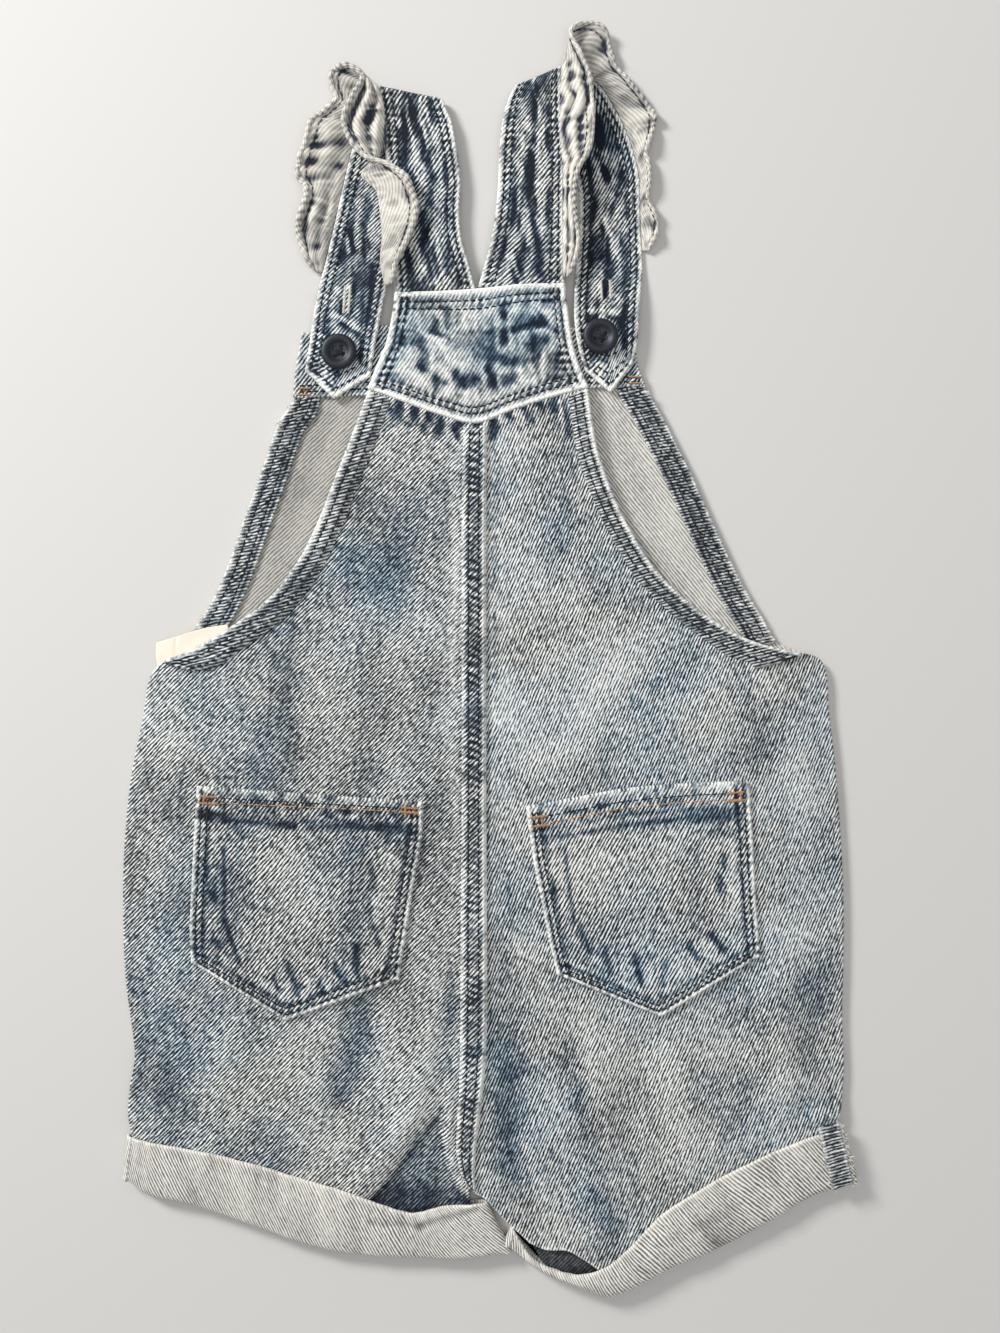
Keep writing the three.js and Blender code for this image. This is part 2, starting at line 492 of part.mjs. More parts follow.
// Ruffles: the gathered edge beside the strap (root) and the free hem, with the height of the waves.
const RUFFLE_COLUMNS = ['rx', 'ry', 'rz', 'fx', 'fy', 'fz', 'wave'];
const RUFFLE_LEFT = table(RUFFLE_COLUMNS, [
  [-40.6, 141, 5, -38.4, 141.6, 5.6, 0], [-42, 149.4, 5, -35.6, 150.6, 6.4, 0.5],
  [-41.2, 160, 5, -31.2, 158.8, 6.8, 0.8], [-41.6, 169.4, 5, -28.2, 170, 7.4, 0.9],
  [-41.6, 177, 5, -31.4, 179.6, 7.8, 1.0], [-40.4, 184, 5, -38.6, 186.8, 8.2, 1.0],
  [-39.6, 189.6, 5, -47, 190.4, 8, 1.1], [-39.8, 195, 5, -53.4, 195.4, 7.4, 1.2],
  [-40.6, 202.6, 5, -56.6, 203.6, 6.8, 1.2], [-41.6, 210.4, 5, -53.4, 213, 6.6, 1.2],
  [-43, 215.4, 4.8, -50.6, 222.8, 6.2, 1.0], [-45, 217.8, 3.6, -55.6, 225.4, 5.2, 0.8],
  [-46, 218.2, 2.2, -60.8, 224.4, 3.6, 0.7], [-46.6, 215, 1, -62.8, 218.8, 1.8, 0.6],
  [-47.1, 209.6, 0.6, -63, 211, 0.9, 0.8], [-52.9, 197.6, 0.6, -70.6, 199, 0.9, 1.2],
  [-56.5, 184.6, 0.6, -75, 185.4, 0.9, 1.3], [-58.6, 175.8, 0.6, -71.8, 177, 0.9, 1.3],
  [-61.4, 163.4, 0.6, -74.8, 162.8, 0.9, 1.3], [-64, 152.4, 0.7, -72, 152.2, 1.1, 0.9],
  [-65.2, 147.4, 1.2, -68.6, 147, 1.6, 0],
]);
const RUFFLE_RIGHT = table(RUFFLE_COLUMNS, [
  [26.6, 144, 5, 29.8, 144.4, 5.6, 0], [26.6, 151, 5, 32.4, 151, 6.6, 0.6],
  [26.6, 158, 5, 33.8, 158, 7.4, 0.8], [26.6, 166, 5, 32.6, 166, 8, 0.8],
  [26.6, 175, 5, 31.8, 175, 8.4, 0.8], [26.6, 184, 5, 33.6, 184, 8.4, 0.9],
  [26.4, 191, 5, 37.6, 191.4, 8, 1.1], [25.9, 200, 5, 39, 200, 7.8, 1.2],
  [25.6, 209, 5, 38.8, 209.6, 7.6, 1.2], [25.6, 217.4, 5, 38, 220, 7.4, 1.2],
  [26.4, 223.4, 4.9, 34.4, 230.4, 7.2, 1.0], [27.4, 226.4, 3.8, 29.8, 238.6, 5.8, 0.9],
  [29.2, 227, 2.4, 37.6, 242.6, 4.2, 0.7], [32.4, 225, 1.1, 44.6, 238.2, 2.2, 0.6],
  [36.2, 222.2, 0.6, 47, 229.4, 1.2, 0.6], [40.9, 219.4, 0.6, 52, 221.2, 0.9, 0.9],
  [46.4, 211.4, 0.6, 61, 211, 0.9, 1.2], [51.4, 201.6, 0.6, 63, 204.4, 0.9, 1.2],
  [54.4, 192.8, 0.6, 60.8, 195.4, 0.9, 0.9], [56.3, 184.4, 0.6, 60.8, 187, 0.9, 0.6],
  [56.6, 172.6, 0.6, 61, 173, 0.9, 0.6], [57, 164.4, 0.6, 64.4, 165.4, 0.9, 0.9],
  [57.2, 158.6, 0.6, 61, 158, 0.9, 0.5], [57.4, 155.6, 0.6, 59.8, 155.2, 0.9, 0],
]);
const RUFFLE_WAVES = 15;
const RUFFLE_THICKNESS = 1.0;

const rufflePlace = (rows) => {
  const root = route(rows.map(({ rx, ry, rz }) => ({ x: rx, y: ry, z: rz })));
  const free = route(rows.map(({ fx, fy, fz }) => ({ x: fx, y: fy, z: fz })));
  const wave = route(rows.map((row) => ({ x: row.wave, y: 0 })));
  return (u, v) => {
    const point = root(v).lerp(free(v), u);
    point.z += wave(v).x * u * (1 + Math.sin(2 * Math.PI * RUFFLE_WAVES * v));
    return point;
  };
};
addPiece('ruffle_left', bentCloth(rufflePlace(RUFFLE_LEFT), 3, 76, RUFFLE_THICKNESS), COLOURS.ruffle);
addPiece('ruffle_right', bentCloth(rufflePlace(RUFFLE_RIGHT), 3, 76, RUFFLE_THICKNESS), COLOURS.ruffle);

// Sew-through buttons with a raised rim, a dished well and four holes.
const BUTTON_HOLE_RADIUS = 0.7;
const BUTTON_HOLE_OFFSET = 1.3;
const buttonGeometry = (x, y, z) => {
  const profile = table(['radius', 'height'], [
    [0, 0], [BUTTON_RADIUS - 0.7, 0], [BUTTON_RADIUS, 0.8], [BUTTON_RADIUS, 2.1], [BUTTON_RADIUS - 0.6, 2.8],
    [BUTTON_RADIUS - 1.5, BUTTON_THICKNESS], [3.6, 2.5], [3, 1.7], [0, 1.7],
  ]);
  const turned = profile.map(({ radius, height }) => new THREE.Vector2(radius, height));
  const disc = new THREE.LatheGeometry(turned, 22);
  disc.rotateX(Math.PI / 2);
  let button = toSolid(disc);
  for (const [sx, sy] of [[1, 1], [1, -1], [-1, 1], [-1, -1]]) {
    const drill = new THREE.CylinderGeometry(BUTTON_HOLE_RADIUS, BUTTON_HOLE_RADIUS, 10, 8);
    drill.rotateX(Math.PI / 2).translate(sx * BUTTON_HOLE_OFFSET, sy * BUTTON_HOLE_OFFSET, 0);
    button = button.subtract(toSolid(drill));
  }
  return toGeometry(button).translate(x, y, z);
};
const BUTTON_BASE = 2 * LAYER + CLOTH + GAP;
addPiece('button_left', buttonGeometry(-58.2, 115.8, BUTTON_BASE), COLOURS.button, 0.6);
addPiece('button_right', buttonGeometry(41, 121.6, BUTTON_BASE), COLOURS.button, 0.6);

// The blank care label, which stands out of the top of the left side seam.
const CARE_LABEL = panel({
  outer: outline([[-127.9, 5.4], [-128, 0.6], [-127.4, -3.6]]),
  inner: outline([[-101.2, 12.4], [-100.8, 11.6], [-100.6, 10.9]]),
  top: outline([[-127.9, 5.4], [-119.9, 7.8], [-110.4, 10.8], [-101.2, 12.4]]),
  hem: outline([[-127.4, -3.6], [-118, 0.8], [-109, 5.8], [-100.6, 10.9]]),
});
addPiece('care_label', laidCloth(CARE_LABEL, 6, 2, () => LAYER, TRIM), COLOURS.label);

// The origin is under the middle of the whole, on the surface.
const bounds = new THREE.Box3().setFromObject(group);
const middle = bounds.getCenter(new THREE.Vector3());
group.position.set(-middle.x, -middle.y, -bounds.min.z);
group.updateMatrixWorld(true);

export default group;
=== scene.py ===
# %% [markdown]
# Denim dungarees, laid flat
#
# A toddler's short dungarees lie face down, so the back is up. This lesson dresses the plain
# solids of the frame with cloth: every cut piece is a fine, closed shell on its solid's own
# outline, with listed creases, rolled edges and puckers, and a procedural denim finish.

# %% Load the frame
import math

import bpy
import numpy as np
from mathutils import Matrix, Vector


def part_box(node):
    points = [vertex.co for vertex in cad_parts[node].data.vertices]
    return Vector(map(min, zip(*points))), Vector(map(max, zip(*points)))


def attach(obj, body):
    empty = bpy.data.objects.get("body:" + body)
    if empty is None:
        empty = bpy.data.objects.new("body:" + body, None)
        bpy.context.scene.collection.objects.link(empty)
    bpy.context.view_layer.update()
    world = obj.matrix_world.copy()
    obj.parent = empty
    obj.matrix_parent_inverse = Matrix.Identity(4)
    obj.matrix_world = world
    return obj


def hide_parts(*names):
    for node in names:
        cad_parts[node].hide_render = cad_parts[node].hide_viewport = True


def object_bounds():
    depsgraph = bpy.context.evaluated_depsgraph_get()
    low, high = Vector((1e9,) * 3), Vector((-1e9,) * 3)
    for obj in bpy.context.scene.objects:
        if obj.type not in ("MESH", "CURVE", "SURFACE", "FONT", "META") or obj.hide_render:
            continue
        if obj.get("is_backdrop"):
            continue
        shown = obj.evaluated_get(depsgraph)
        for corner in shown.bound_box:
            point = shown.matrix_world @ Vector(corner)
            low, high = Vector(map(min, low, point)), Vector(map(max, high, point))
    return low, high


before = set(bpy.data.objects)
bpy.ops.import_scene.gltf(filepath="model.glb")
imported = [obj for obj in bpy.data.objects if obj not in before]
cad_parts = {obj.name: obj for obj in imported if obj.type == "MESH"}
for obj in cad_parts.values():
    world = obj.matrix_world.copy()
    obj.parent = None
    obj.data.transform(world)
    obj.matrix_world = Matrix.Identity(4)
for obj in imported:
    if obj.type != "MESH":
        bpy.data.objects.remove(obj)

solid_box = [list(corner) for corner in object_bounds()]
print("solid box", solid_box)

# %% [markdown]
# The camera
#
# The garment was photographed from straight above. The camera could be orthographic, but a real
# lens shows the thick ruffles a little from the side, so a 35 mm lens hangs half a metre up. The
# frame is 1000 by 1333 pixels, and one pixel is 0.38 mm on the cloth.

# %% Place the camera over the garment
MM = 0.001
PIXEL_MM = 0.38
PHOTO_LONG_SIDE = 1333
LENS_MM = 35
SENSOR_MM = 36
AIM_X, AIM_Y, CLOTH_PLANE = 3.6, -3.4, 4.0


def add_object(name, data):
    thing = bpy.data.objects.new(name, data)
    bpy.context.scene.collection.objects.link(thing)
    return thing


camera_data = bpy.data.cameras.new("overhead_camera")
camera_data.lens = LENS_MM
camera_data.sensor_width = SENSOR_MM
camera = add_object("overhead_camera", camera_data)
camera_height = PHOTO_LONG_SIDE * PIXEL_MM * LENS_MM / SENSOR_MM + CLOTH_PLANE
camera.location = (AIM_X * MM, AIM_Y * MM, camera_height * MM)
bpy.context.scene.camera = camera
print("camera height in mm", round(camera_height, 1))

# %% [markdown]
# Curves and panels
#
# A pattern cutter draws each piece as four edges. The same is done here: an edge is a smooth
# curve through a few points, and a panel blends its two side edges, with the top and hem edges
# bowed as drawn. A sculpted mesh could give the same shapes, but edges from short tables keep
# each piece at its true size and on its solid.

# %% Smooth curves through a table's rows
def ramp(low, high, value):
    """0 below low, 1 above high, smooth between; low may be the larger."""
    t = np.clip((value - low) / (high - low), 0, 1)
    return t * t * (3 - 2 * t)


def bell(distance, width):
    """1 at no distance, dying away over the width."""
    return np.exp(-(distance / width) ** 2)


def paired(u, v):
    """Both as arrays of one shape."""
    return np.broadcast_arrays(np.asarray(u, float), np.asarray(v, float))


def passed_along(path):
    """The length of a path up to each of its points."""
    return np.append(0, np.cumsum(np.linalg.norm(np.diff(path, axis=0), axis=1)))


def full_turn(steps):
    """Angles once round."""
    return np.arange(steps) * 2 * math.pi / steps


def circles(side, up, angle):
    """Points at the angles on a unit circle at each place, from its side and up directions."""
    return (side[:, None] * np.cos(angle)[None, :, None]
            + up[:, None] * np.sin(angle)[None, :, None])


def route(rows):
    """A curve through the rows; its 0 to 1 parameter steps evenly from row to row."""
    points = np.array(rows, float)
    last = len(points) - 1
    before = np.vstack([2 * points[0] - points[1], points[:-1]])
    after = np.vstack([points[2:], 2 * points[-1] - points[-2]])

    def at(t):
        place = np.clip(np.asarray(t, float), 0, 1) * last
        i = np.minimum(place.astype(int), last - 1)
        w = (place - i)[..., None]
        p0, p1, p2, p3 = before[i], points[i], points[i + 1], after[i]
        gap = [np.sqrt(np.linalg.norm(b - a, axis=-1, keepdims=True) + 1e-12)
               for a, b in ((p0, p1), (p1, p2), (p2, p3))]
        lead = (p1 - p0) / gap[0] - (p2 - p0) / (gap[0] + gap[1]) + (p2 - p1) / gap[1]
        tail = (p2 - p1) / gap[1] - (p3 - p1) / (gap[1] + gap[2]) + (p3 - p2) / gap[2]
        lead, tail = lead * gap[1], tail * gap[1]
        curve = p1 + lead * w + (3 * (p2 - p1) - 2 * lead - tail) * w**2
        return curve + (2 * (p1 - p2) + lead + tail) * w**3

    return at


def panel(outer, inner, top=None, hem=None):
    """A panel's place at (u, v): u from outer to inner edge, v from top to hem."""
    outer_edge, inner_edge = route(outer), route(inner)

    def bow(rows):
        if rows is None:
            return lambda u: 0
        edge = route(rows)
        first, final = edge(0.0), edge(1.0)
        return lambda u: edge(u) - first - (final - first) * np.asarray(u)[..., None]

    top_bow, hem_bow = bow(top), bow(hem)

    def place(u, v):
        u, v = paired(u, v)
        across, along = u[..., None], v[..., None]
        flat = outer_edge(v) * (1 - across) + inner_edge(v) * across
        return flat + top_bow(u) * (1 - along) + hem_bow(u) * along

    return place


def spread(length, step, fine=0.5, reach=5.0):
    """Places from 0 to 1 along a length in mm, closer together near both ends."""
    places = [0.0]
    while places[-1] < length / 2:
        share = min(places[-1] / reach, 1)
        places.append(places[-1] + fine + (step - fine) * share)
    half = np.array(places) / places[-1] / 2
    return np.concatenate([half, 1 - half[-2::-1]])


# %% Smooth noise that is the same on every run
def noise_1d(s, size, seed):
    """Smooth noise from -1 to 1 along a length, with waves about a size long."""
    values = np.random.default_rng(seed).uniform(-1, 1, 4096)
    place = np.asarray(s, float) / size + 1000
    i = np.floor(place).astype(int)
    w = ramp(0, 1, place - i)
    return values[i % 4096] * (1 - w) + values[(i + 1) % 4096] * w


def noise_2d(x, y, size, seed):
    """Smooth noise from -1 to 1 over the plan."""
    values = np.random.default_rng(seed).uniform(-1, 1, (256, 256))
    px, py = np.asarray(x) / size + 100, np.asarray(y) / size + 100
    i, j = np.floor(px).astype(int), np.floor(py).astype(int)
    wx, wy = ramp(0, 1, px - i), ramp(0, 1, py - j)
    corner = lambda a, b: values[(i + a) % 256, (j + b) % 256]
    low = corner(0, 0) * (1 - wx) + corner(1, 0) * wx
    high = corner(0, 1) * (1 - wx) + corner(1, 1) * wx
    return low * (1 - wy) + high * wy


def crumple(x, y, size, seed):
    """Thin ridges with wide hollows between them, about -1 to 1."""
    soft = noise_2d(x, y, size, seed)
    return np.clip(1 - 2.6 * np.abs(soft), -1, 1)


# %% [markdown]
# The pattern pieces
#
# These are the cut edges of each piece, in millimetres in the frame's plan: X to the wearer's
# right, Y towards the shoulders. The panels share their side seams, so the seat's side edges are
# written once and used by front and back alike.

# %% Outlines of the four main panels
SEAT_LEFT = [(-133, -24), (-137.5, -46.5), (-140, -73), (-140.5, -96), (-139.5, -122.5),
             (-136.5, -145.5), (-136, -153), (-138, -164.5), (-138.3, -174), (-136.4, -184),
             (-136.4, -196.5)]
SEAT_RIGHT = [(128, -22), (130.5, -43), (132.5, -69.5), (133.5, -92), (133.5, -115), (133, -138),
              (133.6, -157), (132.6, -170), (130.6, -181), (133, -192)]
LEG_HEM_LEFT = [(-136.4, -196.5), (-125.5, -199.5), (-95, -206), (-65, -216), (-34.5, -222),
                (-15.5, -222), (-8, -221)]
LEG_HEM_RIGHT = [(133, -192), (117.5, -196), (95, -205.5), (72, -219), (57, -230), (45.5, -235),
                 (36, -229.5), (28.5, -225.4), (20.5, -225), (14.5, -222.5)]
# The front of the right leg reaches lower, so it shows under the back's hem, where it is
# painted dark as shade in the opening.
FRONT_HEM_RIGHT = [(133, -192), (117.5, -196), (95, -205.5), (72, -219), (57, -231), (45.5, -237.5),
                   (36, -237.5), (28.5, -235), (20.5, -231.5), (14.5, -222.5)]
INSEAM_RIGHT = [(-6.85, -71), (-6.85, -100), (-6.85, -130), (-8.1, -158.5), (-9.15, -173),
                (-9.3, -187), (-7.4, -202.5), (-2.6, -205.8), (4.6, -213.6), (14.5, -222.5)]

back_left = panel(
    outer=[(-46.5, 101.5), (-53.5, 82.5), (-59.5, 67.5), (-65.5, 52), (-73, 37), (-84, 22.5),
           (-97, 12.5), (-112.5, 3), (-128.5, -5), *SEAT_LEFT],
    inner=[(-6.65, 88.5), (-7, 71), (-7, 54), (-7, 37), (-7, 20), (-7, 3), (-7, -12.5),
           (-7, -25.5), (-7, -39), (-7, -54), (-7.15, -71), (-7.15, -92), (-7.15, -111),
           (-7.15, -132), (-8.15, -151), (-8.65, -158.5), (-9.45, -170), (-9.75, -187),
           (-9, -205), (-8, -221)],
    top=[(-46.5, 101.5), (-34.5, 97), (-19, 91.5), (-6.65, 88.5)],
    hem=LEG_HEM_LEFT)
back_right = panel(
    outer=[(36, 102), (37.5, 90), (39.5, 79), (42.5, 69.5), (47, 58), (53, 46.5), (60.5, 34.5),
           (70.5, 24), (82.5, 14.5), (96.5, 6.5), (112, 2), (125, -1.5), *SEAT_RIGHT],
    inner=[(-6.35, 88.5), (-6.7, 79), (-6.7, 67.5), (-6.7, 56), (-6.7, 43), (-6.7, 29.5),
           (-6.7, 16), (-6.7, 3), (-6.7, -10.5), (-6.7, -22), (-6.7, -33), (-6.7, -46.5),
           *INSEAM_RIGHT],
    top=[(36, 102), (22.5, 98.5), (7.5, 93.5), (-6.35, 88.5)],
    hem=LEG_HEM_RIGHT)
front_left = panel(
    outer=[(-72.5, 123.5), (-75, 109), (-76, 98), (-80.8, 90.5), (-83.8, 83), (-88.8, 68.5),
           (-94.4, 53), (-101.5, 33), (-109, 17.5), (-119, 4.5), (-128.5, -5.5), *SEAT_LEFT],
    inner=[(-6.95, 127), (-6.95, 104), (-6.95, 80), (-6.95, 56), (-6.95, 32), (-6.95, 8),
           (-6.95, -15), (-6.95, -40), (-6.95, -60), (-6.95, -85), (-7.15, -105), (-7.15, -125),
           (-7.45, -145), (-8.65, -158.5), (-9.15, -166), (-9.55, -173), (-9.75, -187),
           (-9, -196), (-9, -205), (-8, -221)],
    top=[(-72.5, 123.5), (-50, 126), (-28, 127), (-6.95, 127)],
    hem=LEG_HEM_LEFT)
front_right = panel(
    outer=[(54, 123.5), (55.5, 111), (58.5, 102.5), (62.5, 96), (69, 83.5), (76, 69.5), (82, 56),
           (88, 43), (95.5, 27.5), (102.5, 16), (109.5, 5), (125, -2), *SEAT_RIGHT],
    inner=[(-6.65, 127), (-6.65, 110), (-6.65, 93), (-6.65, 76), (-6.65, 60), (-6.65, 44),
           (-6.65, 28), (-6.65, 12), (-6.65, -4), (-6.65, -20), (-6.65, -36), (-6.65, -52),
           *INSEAM_RIGHT],
    top=[(54, 123.5), (34, 126), (14, 127), (-6.65, 127)],
    hem=FRONT_HEM_RIGHT)
print("the back's outer corners at the hem", back_left(0, 1).round(1), back_right(0, 1).round(1))

# %% [markdown]
# How high each layer lies
#
# The front lies on the floor and the back on the front, so a piece's height follows from the
# layers under it. Each leg lifts as it goes into its cuff, and the back falls to the side seams.
# The largest soft folds are ridges and troughs along listed lines.

# %% Layer heights and the largest folds
CLOTH = 1.2
TRIM = 1.0
GAP = 0.3
LAYER = CLOTH + GAP
CENTRE_X = -6.8
SIDE_LEFT, SIDE_RIGHT, SIDE_SLOPE = -139, 133, 24
CUFF_HEIGHT = 4 * LAYER - GAP
CUFF_BULGE = 1.2
CUFF_RISE_FROM, CUFF_RISE_TO = 15, 4
YOKE_UNDER = 2 * LAYER

# Each cuff's turned-up edge and its fold, from the left end to the right end.
CUFF_LEFT_EDGE = [(-136.4, -182.6), (-129.5, -184.5), (-118, -186.5), (-103, -189.5),
                  (-87.5, -193.5), (-72.5, -198), (-57, -202.5), (-42, -208), (-30.5, -211),
                  (-19, -208.6), (-4.6, -207.6)]
CUFF_LEFT_FOLD = [(-138.4, -199), (-130, -204.5), (-118, -207), (-103, -211.5), (-87.5, -217),
                  (-72.5, -222.5), (-57, -226), (-42, -227.5), (-30.5, -228), (-12, -228.6),
                  (4.6, -226.4)]
CUFF_RIGHT_EDGE = [(8.6, -218.6), (12.8, -225.4), (17, -229.4), (24, -232.6), (33, -234.5),
                   (43.5, -231.5), (53, -223.5), (64.5, -211.5), (76, -204), (87, -197.5),
                   (102.5, -190), (117.5, -183.5), (130.6, -179.6)]
CUFF_RIGHT_FOLD = [(6.4, -224.2), (12, -228.4), (17.5, -232.6), (24, -236), (34, -239.8),
                   (44, -243), (57, -238), (68, -232), (81.5, -226.5), (95, -220),
                   (108, -212.5), (122, -204.6), (136.6, -199.8)]

# x1, y1, x2, y2: the line; width and height of the ridge, a negative height for a trough.
SOLID_FOLDS = [
    (-104, -2, -114, -42, 9, -0.8), (-118, -104, -129, -146, 8, 1.0),
    (-48, -134, -57, -172, 9, -1.1), (-20, -144, -38, -188, 8, 1.3),
    (35, -176, 42, -216, 9, 1.2), (27, -204, 38, -226, 7, -0.7),
    (108, -130, 113, -162, 8, 1.1), (60, -146, 52, -178, 10, -0.8)]


def fold_lift(x, y, folds):
    """The height of soft ridges and troughs along lines."""
    lift = 0
    for x1, y1, x2, y2, width, height in folds:
        dx, dy = x2 - x1, y2 - y1
        length = math.hypot(dx, dy)
        along = ((x - x1) * dx + (y - y1) * dy) / length
        off = ((x - x1) * dy - (y - y1) * dx) / length
        past = np.maximum(0, np.maximum(-along, along - length))
        lift = lift + height * bell(np.hypot(off, past), width)
    return lift


def inside_cuff(x, y):
    """0 on the open leg, 1 where it is inside its cuff."""
    left = np.interp(x, *zip(*CUFF_LEFT_EDGE))
    right = np.interp(x, *zip(*CUFF_RIGHT_EDGE))
    edge = np.where(x < CENTRE_X, left, right)
    return ramp(edge + CUFF_RISE_FROM, edge + CUFF_RISE_TO, y)


def front_under(x, y):
    return LAYER * inside_cuff(x, y)


def on_front(x, y):
    return front_under(x, y) + LAYER


def from_side(x):
    """Distance in from the side seam of either half."""
    return np.where(x < CENTRE_X, x - SIDE_LEFT, SIDE_RIGHT - x)


def back_under(x, y):
    cuff = inside_cuff(x, y)
    slope = ramp(0, SIDE_SLOPE, from_side(x))
    free = slope * (1 - cuff) * ramp(7, 24, np.abs(x - CENTRE_X))
    return LAYER + LAYER * np.maximum(slope, cuff) + free * fold_lift(x, y, SOLID_FOLDS)


def on_yoke(x, y):
    return np.full_like(x, YOKE_UNDER)


button_box = np.array(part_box("button_left"), float) / MM
BUTTON_LEFT_DRAWN = np.array((-58.2, 115.8))
SHIFT = button_box.mean(axis=0)[:2] - BUTTON_LEFT_DRAWN
print("the frame's origin is shifted by", SHIFT.round(2), "mm")

# %% [markdown]
# Shader groups: the weave
#
# Denim is a twill: blue warp threads float over pale weft threads, and the floats step sideways
# row by row, so the surface shows fine slanting lines. A picture of cloth could be tiled, but it
# would repeat and blur. Here the lines are a sine across the slant, bent and broken up by noise
# that is stretched along the threads, so no two threads match.

# %% Helpers for node trees
def put(tree, kind, at=(0, 0), **values):
    """Adds a node, sets its properties and its inputs by name."""
    node = tree.nodes.new(kind)
    node.location = at
    for key, value in values.items():
        if hasattr(node, key):
            setattr(node, key, value)
        else:
            node.inputs[key.replace("_", " ")].default_value = value
    return node


def wire(tree, source, target):
    """Links a socket to a socket, or sets a plain value."""
    if isinstance(source, (int, float, tuple)):
        target.default_value = source
    else:
        tree.links.new(source, target)


def maths(tree, operation, first, second=0.0, third=None, clamp=False):
    node = put(tree, "ShaderNodeMath", operation=operation, use_clamp=clamp)
    wire(tree, first, node.inputs[0])
    wire(tree, second, node.inputs[1])
    if third is not None:
        wire(tree, third, node.inputs[2])
    return node.outputs[0]


def scaled(tree, value, low_in, high_in, low_out, high_out):
    node = put(tree, "ShaderNodeMapRange")
    wire(tree, value, node.inputs["Value"])
    for name, limit in (("From Min", low_in), ("From Max", high_in),
                        ("To Min", low_out), ("To Max", high_out)):
        wire(tree, limit, node.inputs[name])
    return node.outputs["Result"]


def noise(tree, vector, scale, detail=2.0, roughness=0.5):
    node = put(tree, "ShaderNodeTexNoise")
    wire(tree, vector, node.inputs["Vector"])
    wire(tree, scale, node.inputs["Scale"])
    node.inputs["Detail"].default_value = detail
    node.inputs["Roughness"].default_value = roughness
    return node.outputs["Fac"]


def new_group(name, inputs, outputs):
    """A shader node group with named inputs (name, kind, default) and outputs (name, kind)."""
    tree = bpy.data.node_groups.new(name, "ShaderNodeTree")
    for label, kind, default in inputs:
        socket = tree.interface.new_socket(label, in_out="INPUT", socket_type=kind)
        if default is not None:
            socket.default_value = default
    for label, kind in outputs:
        tree.interface.new_socket(label, in_out="OUTPUT", socket_type=kind)
    entry = tree.nodes.new("NodeGroupInput")
    leave = tree.nodes.new("NodeGroupOutput")
    return tree, entry.outputs, leave.inputs


FLOAT, VECTOR, COLOUR = "NodeSocketFloat", "NodeSocketVector", "NodeSocketColor"

# %% The twill weave group
def build_weave():
    tree, given, out = new_group(
        "Twill weave",
        [("Cloth place", VECTOR, None), ("Pitch", FLOAT, 0.0012), ("Slant", FLOAT, 0.75),
         ("Broken", FLOAT, 0.6)],
        [("Thread", FLOAT), ("Height", FLOAT)])
    apart = put(tree, "ShaderNodeSeparateXYZ")
    wire(tree, given["Cloth place"], apart.inputs[0])
    sine = maths(tree, "SINE", given["Slant"])
    cosine = maths(tree, "COSINE", given["Slant"])
    x, y = apart.outputs[0], apart.outputs[1]
    over = maths(tree, "SUBTRACT", maths(tree, "MULTIPLY", x, cosine),
                 maths(tree, "MULTIPLY", y, sine))
    along = maths(tree, "ADD", maths(tree, "MULTIPLY", x, sine),
                  maths(tree, "MULTIPLY", y, cosine))
    over = maths(tree, "DIVIDE", over, given["Pitch"])
    along = maths(tree, "DIVIDE", along, given["Pitch"])
    slow = put(tree, "ShaderNodeCombineXYZ")
    wire(tree, maths(tree, "MULTIPLY", over, 0.35), slow.inputs[0])
    wire(tree, maths(tree, "MULTIPLY", along, 0.12), slow.inputs[1])
    bend = maths(tree, "SUBTRACT", noise(tree, slow.outputs[0], 1.0, 2.0), 0.5)
    bent = maths(tree, "MULTIPLY_ADD", bend, 1.1, over)
    wave = maths(tree, "SINE", maths(tree, "MULTIPLY", bent, 2 * math.pi))
    wave = maths(tree, "MULTIPLY_ADD", wave, 0.5, 0.5)
    streak_place = put(tree, "ShaderNodeCombineXYZ")
    wire(tree, maths(tree, "MULTIPLY", bent, 1.3), streak_place.inputs[0])
    wire(tree, maths(tree, "MULTIPLY", along, 0.42), streak_place.inputs[1])
    streak = noise(tree, streak_place.outputs[0], 1.0, 3.0, 0.7)
    streak = scaled(tree, streak, 0.36, 0.64, 0.0, 1.0)
    kept = maths(tree, "SUBTRACT", 1.0, given["Broken"])
    thread = maths(tree, "MULTIPLY_ADD", streak, given["Broken"],
                   maths(tree, "MULTIPLY", wave, kept))
    thread = scaled(tree, thread, 0.18, 0.82, 0.0, 1.0)
    wire(tree, thread, out["Thread"])
    wire(tree, wave, out["Height"])
    return tree


WEAVE = build_weave()
